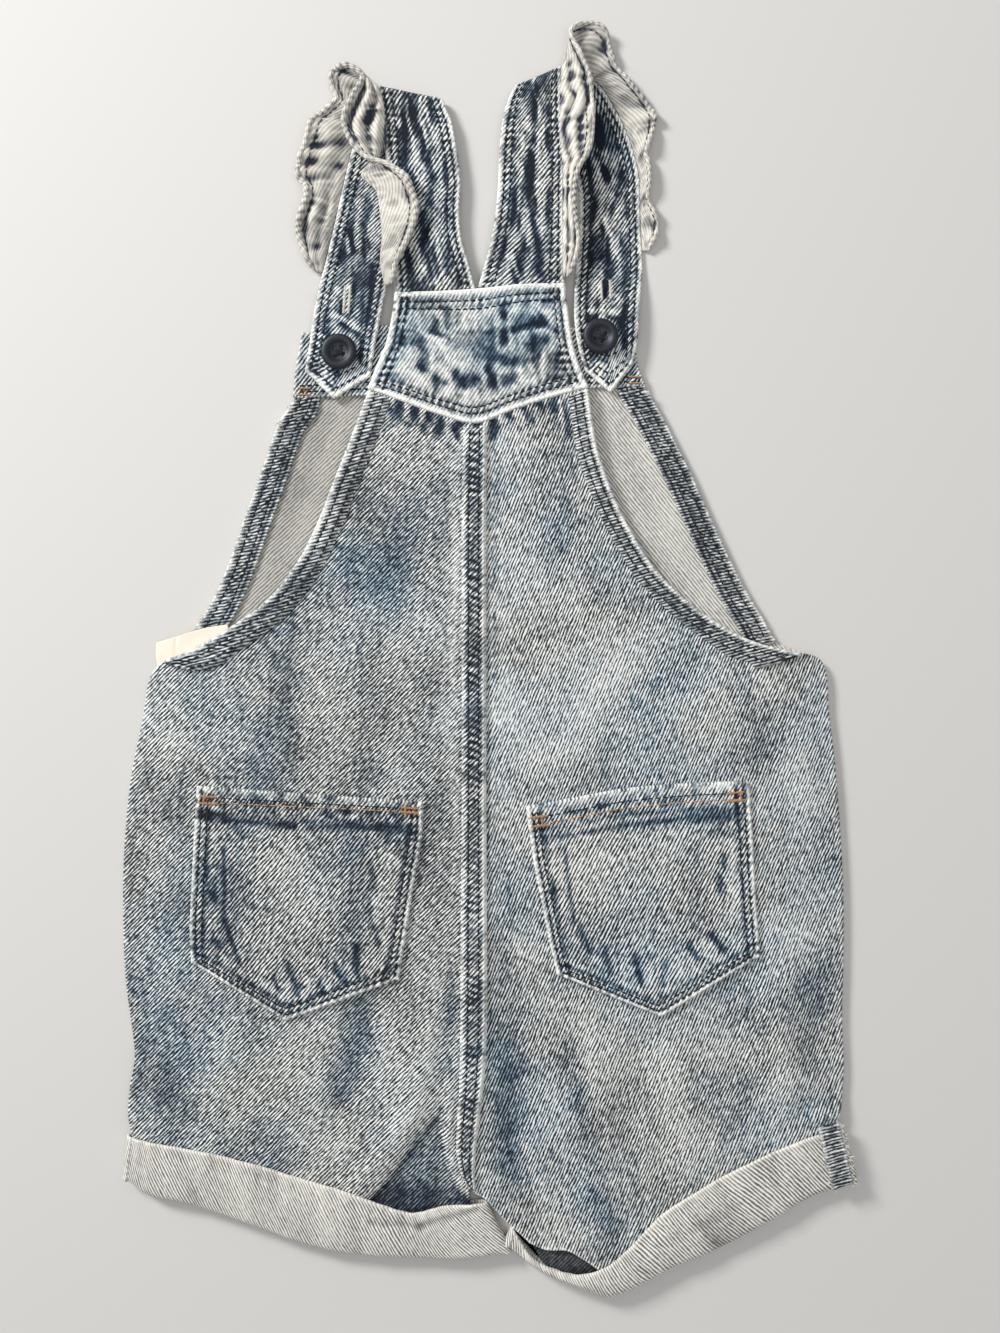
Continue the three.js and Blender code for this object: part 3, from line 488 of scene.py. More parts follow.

# %% [markdown]
# Shader groups: the stone wash and painted shade
#
# Stone washing rubs the indigo off whatever stands proud and leaves it in the hollows, and it
# leaves clouds where the load lay differently. The rubbing is driven by two values carried by
# each mesh: wear, which is 1 on rolled edges, and relief, the height of the nearest small fold.
# The relief also paints light into the colour: low places get painted shade, darker and bluer,
# and high places a painted highlight. One group turns those, the clouds and the weave into a
# tone, and a second gives a tone its dye.

# %% The stone wash, painted shade and indigo groups
def build_wash_and_shade():
    tree, given, out = new_group(
        "Stone wash and painted shade",
        [("Place", VECTOR, None), ("Thread", FLOAT, 0.5), ("Wear", FLOAT, 0.0),
         ("Relief", FLOAT, 0.0), ("Lightness", FLOAT, 0.5), ("Clouds", FLOAT, 0.2),
         ("Dye depth", FLOAT, 1.0), ("Thread contrast", FLOAT, 0.35), ("Heather", FLOAT, 0.1),
         ("Blueness", FLOAT, 0.8)],
        [("Tone", FLOAT), ("Blue", FLOAT)])
    place = given["Place"]
    clouds = maths(tree, "SUBTRACT", noise(tree, place, 34.0, 4.0, 0.62), 0.5)
    patches = scaled(tree, noise(tree, place, 110.0, 3.0, 0.6), 0.36, 0.66, 0.0, 1.0)
    heather = maths(tree, "SUBTRACT", noise(tree, place, 620.0, 3.0, 0.75), 0.5)
    # Low relief darkens the tone and makes it bluer, and high relief lightens it: partly indigo
    # kept in hollows and rubbed off ridges, partly painted shade and painted highlight.
    hollow = maths(tree, "MULTIPLY", given["Relief"], -1.0, clamp=True)
    proud = maths(tree, "MULTIPLY", given["Relief"], 1.0, clamp=True)
    dye_and_shade = maths(tree, "MULTIPLY_ADD", patches, 0.35, 0.4)
    dye_and_shade = maths(tree, "MULTIPLY", maths(tree, "MULTIPLY", hollow, dye_and_shade), given["Dye depth"])
    tone = maths(tree, "MULTIPLY_ADD", clouds, given["Clouds"], given["Lightness"])
    tone = maths(tree, "SUBTRACT", tone, dye_and_shade)
    tone = maths(tree, "MULTIPLY_ADD", proud, 0.3, tone)
    tone = maths(tree, "MULTIPLY_ADD", heather, given["Heather"], tone)
    quiet = maths(tree, "MULTIPLY_ADD", hollow, -0.45, 1.0)
    quiet = maths(tree, "MULTIPLY_ADD", given["Wear"], -0.7, quiet, clamp=True)
    contrast = maths(tree, "MULTIPLY", given["Thread contrast"], quiet)
    line = maths(tree, "SUBTRACT", given["Thread"], 0.5)
    tone = maths(tree, "MULTIPLY_ADD", line, contrast, tone)
    speckle = scaled(tree, heather, -0.16, 0.1, 0.45, 1.0)
    rubbed = maths(tree, "MULTIPLY", given["Wear"], speckle)
    tone = maths(tree, "MULTIPLY_ADD", rubbed, 0.5, tone, clamp=True)
    wire(tree, tone, out["Tone"])
    blue = scaled(tree, noise(tree, place, 22.0, 2.0, 0.5), 0.42, 0.68, 0.0, 0.9)
    blue = maths(tree, "MULTIPLY_ADD", hollow, 0.8, blue)
    blue = maths(tree, "MULTIPLY", blue, given["Blueness"], clamp=True)
    unworn = maths(tree, "SUBTRACT", 1.0, given["Wear"], clamp=True)
    wire(tree, maths(tree, "MULTIPLY", blue, unworn), out["Blue"])
    return tree


WASH_AND_SHADE = build_wash_and_shade()

# Tone, then linear red, green and blue: rubbed threads are grey; dyed hollows, and hollows painted
# in shade, are blue.
RUBBED_STOPS = [
    (0.00, (0.007, 0.008, 0.011)), (0.18, (0.030, 0.034, 0.041)), (0.38, (0.117, 0.129, 0.134)),
    (0.58, (0.284, 0.302, 0.300)), (0.78, (0.580, 0.592, 0.568)), (1.00, (0.920, 0.905, 0.845))]
DYED_AND_SHADED_STOPS = [
    (0.00, (0.004, 0.008, 0.017)), (0.18, (0.017, 0.034, 0.062)), (0.38, (0.072, 0.122, 0.172)),
    (0.58, (0.208, 0.292, 0.345)), (0.78, (0.490, 0.590, 0.625)), (1.00, (0.900, 0.885, 0.830))]


def colour_stops(tree, tone, rows):
    dye_and_shade = put(tree, "ShaderNodeValToRGB")
    stops = dye_and_shade.color_ramp.elements
    while len(stops) < len(rows):
        stops.new(0.5)
    for stop, (place, colour) in zip(stops, rows):
        stop.position = place
        stop.color = (*colour, 1)
    wire(tree, tone, dye_and_shade.inputs[0])
    return dye_and_shade.outputs[0]


def build_indigo():
    tree, given, out = new_group("Indigo", [("Tone", FLOAT, 0.5), ("Blue", FLOAT, 0.3)],
                                 [("Dye", COLOUR)])
    mixed = put(tree, "ShaderNodeMix", data_type="RGBA")
    wire(tree, given["Blue"], mixed.inputs["Factor"])
    wire(tree, colour_stops(tree, given["Tone"], RUBBED_STOPS), mixed.inputs["A"])
    wire(tree, colour_stops(tree, given["Tone"], DYED_AND_SHADED_STOPS), mixed.inputs["B"])
    wire(tree, mixed.outputs["Result"], out["Dye"])
    return tree


INDIGO = build_indigo()
print("shader groups", [group.name for group in bpy.data.node_groups])

# %% [markdown]
# Materials
#
# One dyed denim would not do: straps, pockets and panels were rubbed differently. So a function
# places the same groups with each piece's own values. The inner face of denim is mostly the pale
# weft, with only a trace of blue, and slants the other way.

# %% Denim, inside denim and small finishes
def begin_material(name, roughness, sheen=0.0):
    material = bpy.data.materials.new(name)
    material.use_nodes = True
    tree = material.node_tree
    shader = tree.nodes["Principled BSDF"]
    shader.inputs["Roughness"].default_value = roughness
    shader.inputs["Specular IOR Level"].default_value = 0.25
    shader.inputs["Sheen Weight"].default_value = sheen
    return material, tree, shader


def use_group(tree, group, **links):
    node = put(tree, "ShaderNodeGroup", node_tree=group)
    for name, value in links.items():
        wire(tree, value, node.inputs[name.replace("_", " ")])
    return node.outputs


def carried(tree, name):
    return put(tree, "ShaderNodeAttribute", attribute_name=name).outputs["Fac"]


def bump(tree, shader, height, distance, strength=0.7):
    node = put(tree, "ShaderNodeBump")
    node.inputs["Strength"].default_value = strength
    node.inputs["Distance"].default_value = distance
    wire(tree, height, node.inputs["Height"])
    wire(tree, node.outputs[0], shader.inputs["Normal"])


def colour_between(tree, shader, share, low, high):
    """Gives the shader a colour from low to high by the share."""
    tint = put(tree, "ShaderNodeMix", data_type="RGBA")
    tint.inputs["A"].default_value = (*low, 1)
    tint.inputs["B"].default_value = (*high, 1)
    wire(tree, share, tint.inputs["Factor"])
    wire(tree, tint.outputs["Result"], shader.inputs["Base Color"])


def washed_twill(name, roughness, sheen, lean, pitch, broken, **wash_values):
    """Places the two groups: the weave follows the cut, the wash and painted shade the object."""
    material, tree, shader = begin_material(name, roughness, sheen)
    cloth = put(tree, "ShaderNodeUVMap", uv_map="cloth").outputs[0]
    weave = use_group(tree, WEAVE, Cloth_place=cloth, Pitch=pitch, Slant=math.radians(lean),
                      Broken=broken)
    place = put(tree, "ShaderNodeTexCoord").outputs["Object"]
    wash_and_shade = use_group(tree, WASH_AND_SHADE, Place=place, Thread=weave["Thread"], Wear=carried(tree, "wear"),
                     Relief=carried(tree, "relief"), **wash_values)
    return material, tree, shader, weave, wash_and_shade


def denim(name, lightness=0.5, lean=46, depth=1.0, contrast=1.15, clouds=0.78, heather=0.5,
          blueness=0.95, pitch=0.00108):
    """Dyed twill whose fine lines lean to the right by so many degrees."""
    material, tree, shader, weave, wash_and_shade = washed_twill(
        name, 0.9, 0.15, lean, pitch, broken=0.46, Lightness=lightness, Clouds=clouds,
        Dye_depth=depth, Thread_contrast=contrast, Heather=heather, Blueness=blueness)
    dye_and_shade = use_group(tree, INDIGO, Tone=wash_and_shade["Tone"], Blue=wash_and_shade["Blue"])
    wire(tree, dye_and_shade["Dye"], shader.inputs["Base Color"])
    bump(tree, shader, weave["Height"], 0.00012)
    return material


def inner_denim(name, pale, dark, lean, contrast=0.9, depth=0.8, pitch=0.00112):
    """The wrong side of the twill, mostly its pale weft."""
    material, tree, shader, weave, wash_and_shade = washed_twill(
        name, 0.95, 0.1, lean, pitch, broken=0.3, Lightness=0.6, Clouds=0.45,
        Dye_depth=depth, Thread_contrast=contrast, Heather=0.25)
    # The tone picks the colour between dark and pale; low relief brings the dark end, painted shade
    # in creases.
    colour_between(tree, shader, wash_and_shade["Tone"], dark, pale)
    bump(tree, shader, weave["Height"], 0.0001)
    return material


def spun(name, colour, lighter):
    """Thread, tape or fray: a plain colour with fine uneven fibres."""
    material, tree, shader = begin_material(name, 0.8, sheen=0.2)
    place = put(tree, "ShaderNodeTexCoord").outputs["Object"]
    fibre = scaled(tree, noise(tree, place, 2500.0, 2.0), 0.3, 0.7, 0.0, 1.0)
    colour_between(tree, shader, fibre, colour, lighter)
    bump(tree, shader, fibre, 0.00005, 0.5)
    return material


# Distance between the twill's lines, in metres.
POCKET_PITCH, STRAP_PITCH = 0.00118, 0.00122
# The two halves are cut as a pair, so the twill leans more on the left than on the right.
PANEL_DENIM = {"left": denim("washed_denim_left", 0.475, lean=45),
               "right": denim("washed_denim_right", 0.53, lean=23)}
POCKET_DENIM = {"left": denim("pocket_denim_left", 0.44, lean=40, pitch=POCKET_PITCH),
                "right": denim("pocket_denim_right", 0.52, lean=28, pitch=POCKET_PITCH)}
SEAM_DENIM = denim("seam_denim", 0.52, lean=45, blueness=0.6, pitch=POCKET_PITCH)
YOKE_DENIM = denim("yoke_denim", 0.63, lean=33, contrast=0.5, depth=1.15, blueness=1.1,
                   pitch=STRAP_PITCH)
STRAP_DENIM, STRAP_DENIM_TURNED = (
    denim(name, 0.44, lean=lean, contrast=1.0, depth=1.2, blueness=0.9, pitch=STRAP_PITCH)
    for name, lean in (("strap_denim", 38), ("strap_denim_turned", -38)))
HEM_DENIM = denim("rubbed_hem_denim", 0.46, lean=75, contrast=0.9, blueness=0.3,
                  pitch=POCKET_PITCH)
BIB_HEM_DENIM = denim("bib_hem_denim", 0.40, lean=80, contrast=0.9, blueness=0.4,
                      pitch=POCKET_PITCH)
# A dark navy denim for the front's faces at the leg ends: painted shade in the openings.
LEG_OPENING_SHADE = denim("leg_opening_painted_shade", 0.14, lean=45, contrast=0.3, blueness=1.0)
INSIDE_DENIM = {
    "left": inner_denim("inside_denim_left", (0.60, 0.57, 0.51), (0.11, 0.11, 0.11), lean=47),
    "right": inner_denim("inside_denim_right", (0.80, 0.77, 0.70), (0.14, 0.14, 0.14), lean=-39)}
CUFF_DENIM = inner_denim("cuff_denim", (0.86, 0.82, 0.74), (0.12, 0.125, 0.13), lean=-30,
                         contrast=1.35)
# Its dark end shows in the gathers' hollows: painted shade.
RUFFLE_INSIDE = inner_denim("ruffle_inside", (0.88, 0.83, 0.73), (0.028, 0.034, 0.052),
                            lean=20, contrast=0.3, depth=1.15)
DARK_THREAD = spun("navy_thread", (0.004, 0.005, 0.008), (0.016, 0.018, 0.026))
TAN_THREAD = spun("tan_thread", (0.36, 0.17, 0.07), (0.6, 0.34, 0.17))
PALE_FRAY = spun("pale_fray", (0.7, 0.66, 0.58), (0.9, 0.86, 0.78))
LABEL_TAPE = spun("label_tape", (0.86, 0.74, 0.60), (0.95, 0.86, 0.74))
print("materials", len(bpy.data.materials))

# %% [markdown]
# From a grid to a piece of cloth
#
# Every piece is a closed thin shell: a top grid, a bottom grid and a rounded rim that joins them.
# A plane with a Solidify modifier would be quicker, but its rim is square and its two faces
# cannot differ. The top carries the values for the wash and the painted shade, and the UV map is
# the cloth's own plan in metres, so the weave follows the cut and not the page.

# %% Build a closed cloth shell
def cross_2d(a, b):
    return a[..., 0] * b[..., 1] - a[..., 1] * b[..., 0]


def ring_of(rows, columns):
    """The grid's border, once round, as flat indices."""
    grid = np.arange(rows * columns).reshape(rows, columns)
    return np.concatenate([grid[0, :-1], grid[:-1, -1], grid[-1, :0:-1], grid[:0:-1, 0]])


def rim_rings(rows, columns, wrap):
    """The border as closed rings of flat indices: one round a sheet, two on a tube."""
    if not wrap:
        return [ring_of(rows, columns)]
    grid = np.arange(rows * columns).reshape(rows, columns)
    return [grid[0], grid[-1, ::-1]]


def shell_mesh(name, top, bottom, plan, wear, relief, materials, wrap=False):
    """Joins two grids into one closed shell with a rounded rim; the second material is below."""
    rows, columns = top.shape[:2]
    count = rows * columns
    grid = np.arange(count).reshape(rows, columns)
    if wrap:
        grid = np.hstack([grid, grid[:, :1]])
    cells = np.stack([grid[:-1, :-1], grid[:-1, 1:], grid[1:, 1:], grid[1:, :-1]], -1)
    cells = cells.reshape(-1, 4)
    normal = np.cross(top[1:, :-1] - top[:-1, :-1], top[:-1, 1:] - top[:-1, :-1])
    flipped = (normal * (top - bottom)[:-1, :-1]).sum() > 0
    if flipped:
        cells = cells[:, ::-1]
    flat_top, flat_bottom = top.reshape(-1, 3), bottom.reshape(-1, 3)
    points, owners, faces = [flat_top, flat_bottom], [], [cells, (cells + count)[:, ::-1]]
    for ring in rim_rings(rows, columns, wrap):
        first = sum(len(group) for group in points)
        edge_top, edge_bottom = flat_top[ring], flat_bottom[ring]
        tangent = np.roll(edge_top, -1, 0) - np.roll(edge_top, 1, 0)
        out = np.cross(tangent, edge_top - edge_bottom) * (-1 if flipped else 1)
        out /= np.linalg.norm(out, axis=1, keepdims=True) + 1e-12
        half = np.linalg.norm(edge_top - edge_bottom, axis=1, keepdims=True) / 2
        points.append((edge_top + edge_bottom) / 2 + out * half * 0.7)
        owners.append(ring)
        k = np.arange(len(ring))
        after = (k + 1) % len(ring)
        rims = [np.stack([ring[k], ring[after], first + after, first + k], -1),
                np.stack([first + k, first + after, count + ring[after], count + ring[k]], -1)]
        faces += rims if flipped else [rim[:, ::-1] for rim in rims]
    faces = np.vstack(faces)
    owner = np.concatenate([np.arange(count), np.arange(count), *owners])
    points = (np.vstack(points) + [*SHIFT, 0]) * MM
    name = f"{name}_cloth"
    mesh = bpy.data.meshes.new(name)
    mesh.from_pydata(points.tolist(), [], faces.tolist())
    for label, values in (("wear", wear), ("relief", relief)):
        attribute = mesh.attributes.new(label, "FLOAT", "POINT")
        attribute.data.foreach_set("value", values.ravel()[owner].astype(np.float32))
    flat_plan = plan.reshape(-1, 2)[owner] * MM
    layer = mesh.uv_layers.new(name="cloth")
    layer.data.foreach_set("uv", flat_plan[faces.ravel()].astype(np.float32).ravel())
    for material in materials:
        mesh.materials.append(material)
    slots = np.zeros(len(faces), np.int32)
    slots[len(cells):2 * len(cells)] = len(materials) - 1
    mesh.polygons.foreach_set("material_index", slots)
    mesh.polygons.foreach_set("use_smooth", np.ones(len(faces), bool))
    mesh.update()
    piece = add_object(name, mesh)
    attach(piece, "root")
    return piece


def grid_normals(points, toward):
    """Unit normals of a grid, on the side that toward points to."""
    normal = np.cross(np.gradient(points, axis=1), np.gradient(points, axis=0))
    normal /= np.linalg.norm(normal, axis=-1, keepdims=True) + 1e-12
    return normal if (normal * toward).sum() > 0 else -normal

# %% [markdown]
# A cut piece
#
# Dye, rubbing, painted shade and stitches depend on how far a point is from the piece's edges,
# so a piece keeps those distances with its grid. They could be painted on as pictures, but worked
# out from the distances they fit any cut and stay sharp up close.

# %% One cut piece, with its heights and its wash
class Cloth:
    """One cut piece: its grid, its two faces, and the distances from its edges in mm."""

    def __init__(self, place, us, vs):
        self.us, self.vs = us, vs
        self.plan = place(us[None, :], vs[:, None])
        self.x, self.y = self.plan[..., 0], self.plan[..., 1]
        across = self.plan[:, -1, :2] - self.plan[:, 0, :2]
        self.widths = np.linalg.norm(across, axis=1)
        edge = np.gradient(self.plan[:, 0, :2], axis=0)
        slant = np.abs(cross_2d(across, edge)) / (
            self.widths * np.linalg.norm(edge, axis=1) + 1e-9)
        shares = np.linalg.norm(self.plan[..., :2] - self.plan[:, :1, :2], axis=-1)
        self.from_outer = shares * slant[:, None]
        self.from_inner = (self.widths[:, None] - shares) * slant[:, None]
        steps = np.linalg.norm(np.diff(self.plan[..., :2], axis=0), axis=-1)
        self.along = np.vstack([np.zeros(len(us)), np.cumsum(steps, 0)])
        self.from_top = self.along
        self.from_hem = self.along[-1] - self.along
        side = np.linalg.norm(np.diff(self.plan[..., :2], axis=1), axis=-1)
        self.across = np.hstack([np.zeros((len(vs), 1)), np.cumsum(side, 1)])
        self.relief = np.zeros_like(self.x)
        self.wear = np.zeros_like(self.x)
        self.lift = np.zeros_like(self.x)

    def shape(self, lift, relief_scale=2.0):
        """Adds a height in mm, and its shape to the relief: wash, painted shade and highlight."""
        self.lift = self.lift + lift
        self.relief = self.relief + lift * relief_scale

    def roll(self, distance, width=0.9, height=0.25, wear=1.0, uneven=0.35, seed=1):
        """A rubbed, rounded edge."""
        nicks = 0.5 + 0.35 * noise_2d(self.x, self.y, 1.3, seed)
        nicks = nicks + 0.3 * noise_2d(self.x, self.y, 6, seed + 1)
        patchy = np.clip(1.1 - uneven * 1.6 * nicks, 0, 1)
        self.lift = self.lift + height * bell(distance, width)
        self.wear = np.maximum(self.wear, wear * patchy * np.exp(-(distance / width) ** 4))

    def sink_rows(self, distance, rows, depth=0.2):
        """Lets rows of stitches sink into the cloth, with painted shade in their grooves."""
        for row in rows:
            self.lift = self.lift - depth * bell(distance - row, 0.5)
            self.relief = self.relief - 0.3 * bell(distance - row, 0.6)

    def rub_ladder(self, offset, s, width, pitch, seed, always=0.25, steps=0.6):
        """Rubs the cloth between two rows pale, in steps along s."""
        ticks = puckers(s, 0 * offset, pitch, 1.0, 1, seed)
        self.relief = self.relief + bell(offset, width) * (always + steps * ticks)

    def finish(self, name, under, thick, materials, follow=True):
        """Gives the piece its heights and makes its mesh."""
        base = under(self.x, self.y)
        low = base + (self.lift if follow else 0)
        high = base + thick + self.lift
        self.top = np.dstack([self.x, self.y, high])
        self.bottom = np.dstack([self.x, self.y, low])
        self.object = shell_mesh(name, self.top, self.bottom, self.plan[..., :2], self.wear,
                                 self.relief, materials)
        return self.object

    def at(self, u, v, grid):
        """A grid's value at any (u, v)."""
        iu = np.interp(u, self.us, np.arange(len(self.us)))
        iv = np.interp(v, self.vs, np.arange(len(self.vs)))
        i = np.minimum(iu.astype(int), len(self.us) - 2)
        j = np.minimum(iv.astype(int), len(self.vs) - 2)
        a, b = (iu - i)[..., None], (iv - j)[..., None]
        low = grid[j, i] * (1 - a) + grid[j, i + 1] * a
        high = grid[j + 1, i] * (1 - a) + grid[j + 1, i + 1] * a
        return low * (1 - b) + high * b

    def line(self, u, v, below=False):
        """Points and normals of a line on the top face, or on the one below."""
        u, v = paired(u, v)
        normals = grid_normals(self.top, self.top - self.bottom)
        up = self.at(u, v, -normals if below else normals)
        up /= np.linalg.norm(up, axis=-1, keepdims=True)
        return self.at(u, v, self.bottom if below else self.top), up

# %% Puckers, even steps and pieces that bend
def puckers(s, distance, pitch, depth, reach, seed, slope=0.0):
    """Small irregular waves along a seam that die away with the distance from it."""
    drift = 2.2 * noise_1d(s, pitch * 2.6, seed)
    wave = np.sin(2 * math.pi * (s + slope * distance) / pitch + drift)
    strength = depth * (0.65 + 0.45 * noise_1d(s, pitch * 1.7, seed + 1))
    return wave * strength * np.exp(-np.maximum(distance, 0) / reach)


def even(place, step, fine=0.5, reach=4.0, at_u=0.5):
    """Values of v that are evenly spaced along a piece, and closer near its ends."""
    t = np.linspace(0, 1, 4001)
    line = place(np.full_like(t, at_u), t)
    passed = passed_along(line)
    return np.interp(spread(passed[-1], step, fine, reach) * passed[-1], passed, t)


LOWEST = 0.03


class BentCloth(Cloth):
    """A piece whose middle surface bends in space, such as a strap over the shoulder."""

    def finish_bent(self, name, thick, materials, sway=0):
        """Puts cloth on both sides of the middle surface, and none of it under the floor."""
        middle = self.plan + 0
        up = grid_normals(middle, np.array([0, 0, 1.0]) * self.facing(middle))
        middle = middle + up * np.broadcast_to(sway, self.x.shape)[..., None]
        half = (thick / 2 + self.lift)[..., None]
        self.top, self.bottom = middle + up * half, middle - up * half
        for face in (self.top, self.bottom):
            face[..., 2] = np.maximum(face[..., 2], LOWEST)
        mean_width = self.across[:, -1].mean()
        length = self.along.mean(1, keepdims=True)
        cloth_plan = np.dstack([mean_width * self.us + 0 * length, length + 0 * self.across])
        self.object = shell_mesh(name, self.top, self.bottom, cloth_plan, self.wear,
                                 self.relief, materials)

    def facing(self, middle):
        """1 on the rows that face up when the piece leaves its seam, and 0 elsewhere."""
        first = np.zeros(middle.shape[:2])
        first[: max(3, len(first) // 4)] = 1
        return first[..., None]


# %% [markdown]
# Stitches
#
# The seams are sewn with two rows of near-black thread. A dashed texture would look flat up
# close, so every stitch is a short rounded bar whose ends dive into the cloth. All bars of one
# thread join into one mesh.

# %% A drawer of stitches for each thread
class Thread:
    """Collects stitches of one colour and makes them into one mesh."""

    SIDES = 6

    def __init__(self):
        self.points, self.faces = [], []

    def bars(self, start, end, up, radius, arch=1.0):
        """Adds one bar from each start to each end, arched along up."""
        t = np.array([0.0, 0.12, 0.5, 0.88, 1.0])
        wide = np.array([0.3, 0.85, 1.0, 0.85, 0.3])
        rise = radius * arch * (1.5 * np.sin(np.pi * t) - 0.9)
        spine = start[:, None] * (1 - t)[None, :, None] + end[:, None] * t[None, :, None]
        spine = spine + up[:, None] * rise[None, :, None]
        run = end - start
        run /= np.linalg.norm(run, axis=1, keepdims=True) + 1e-12
        side = np.cross(run, up)
        ring = circles(side, up, full_turn(self.SIDES))
        body = spine[:, :, None] + ring[:, None] * (radius * wide)[None, :, None, None]
        count, rings = len(start), len(t)
        first = sum(len(p) for p in self.points)
        self.points.append(body.reshape(-1, 3))
        index = first + np.arange(count * rings * self.SIDES).reshape(count, rings, self.SIDES)
        turned = np.roll(index, -1, 2)
        quads = np.stack([index[:, :-1], turned[:, :-1], turned[:, 1:], index[:, 1:]], -1)
        self.faces += quads.reshape(-1, 4).tolist()
        self.faces += index[:, 0, ::-1].tolist() + index[:, -1].tolist()

    def row(self, line, length=2.3, gap=0.45, radius=0.36, seed=3):
        """Adds a row of stitches along a line of (points, normals)."""
        path, normals = line
        passed = passed_along(path)
        marks = np.arange(0.3, passed[-1] - length, length + gap)
        loose = np.random.default_rng(seed).uniform(-0.15, 0.15, (2, len(marks)))
        place = lambda s: np.stack([np.interp(s, passed, path[:, k]) for k in range(3)], -1)
        up = np.stack([np.interp(marks, passed, normals[:, k]) for k in range(3)], -1)
        self.bars(place(marks + loose[0]), place(marks + length + loose[1]), up, radius)

    def satin(self, middle, heading, offsets, near, far, radius, arch):
        """Adds stitches side by side at offsets along a heading, from near to far across it."""
        run = np.array([math.cos(heading), math.sin(heading), 0])
        side = np.array([-run[1], run[0], 0])
        centre = np.array(middle) + np.asarray(offsets)[:, None] * run
        up = np.repeat([[0, 0, 1.0]], len(centre), 0)
        self.bars(centre + near * side, centre + far * side, up, radius, arch)

    def bartack(self, middle, heading, length, width):
        """Adds a dense bar of stitches, flat on a surface that faces up."""
        offsets = np.arange(-length / 2, length / 2, 0.5)
        self.satin(middle, heading, offsets, -width / 2, width / 2, 0.24, 1.3)

    def sew(self, name, material):
        mesh = bpy.data.meshes.new(name)
        points = np.vstack(self.points) + np.array([*SHIFT, 0])
        mesh.from_pydata((points * MM).tolist(), [], self.faces)
        mesh.polygons.foreach_set("use_smooth", np.ones(len(self.faces), bool))
        mesh.materials.append(material)
        piece = add_object(name, mesh)
        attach(piece, "root")
        return piece


navy_thread = Thread()
tan_thread = Thread()
pale_thread = Thread()


def dress(piece, node, slot, flat, area=None, rests_on=(), held="laid", **more):
    """Hides a cloth piece's solid and prints its faces; its flat cut in millimetres is not used."""
    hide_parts(node)
    print(piece.name, len(piece.data.polygons), "faces")


# %% [markdown]
# Where the back folds
#
# The pockets, hems and seam lie on the back and bend with it. Each could be laid on the finished
# mesh with a Shrinkwrap modifier, but a thin strip would then jump from fold to fold. So the folds
# are a function of the place on the plan, and each piece asks it for its own height.

# %% Soft folds shared by the back and everything sewn on it
# x1, y1, x2, y2, width, height: fine creases of the back, over its largest folds.
FINE_FOLDS = [
    (-61, 8.6, 34, 9.0, 1.6, -0.14), (-96, 14, -118, -44, 6, 0.35), (-72, -6, -92, -44, 5, -0.25),
    (-60, -134, -66, -176, 5, 0.5), (-47.7, -134, -58, -172, 4, -0.5),
    (-98, -140, -112, -182, 6, 0.35), (-84, -146, -88, -190, 5, -0.3),
    (-30, -124, -42, -150, 5, 0.3), (-22, -150, -32, -178, 4, 0.4),
    (14, -134, 22, -176, 6, 0.35), (30, -144, 40, -190, 5, -0.35), (38, -158, 46, -206, 5, 0.5),
    (56, -150, 50, -196, 6, -0.4), (70, -142, 74, -194, 6, 0.4), (88, -128, 96, -186, 5, -0.3),
    (104, -126, 110, -174, 5, 0.5), (120, -96, 124, -158, 5, -0.25), (116, -18, 122, -60, 6, 0.3),
    (52, 20, 66, -40, 7, -0.25), (28, 62, 34, 4, 7, 0.2), (-34, 66, -40, 10, 7, -0.2),
    (-28, 70, -22, 6, 6, 0.2), (84, 4, 90, -38, 6, 0.25), (-126, -30, -131, -90, 5, 0.3),
    (108, -20, 102, -44, 5, -0.2), (-18, -132, -20, -152, 3, -0.4), (6, -150, 10, -196, 4, -0.4)]
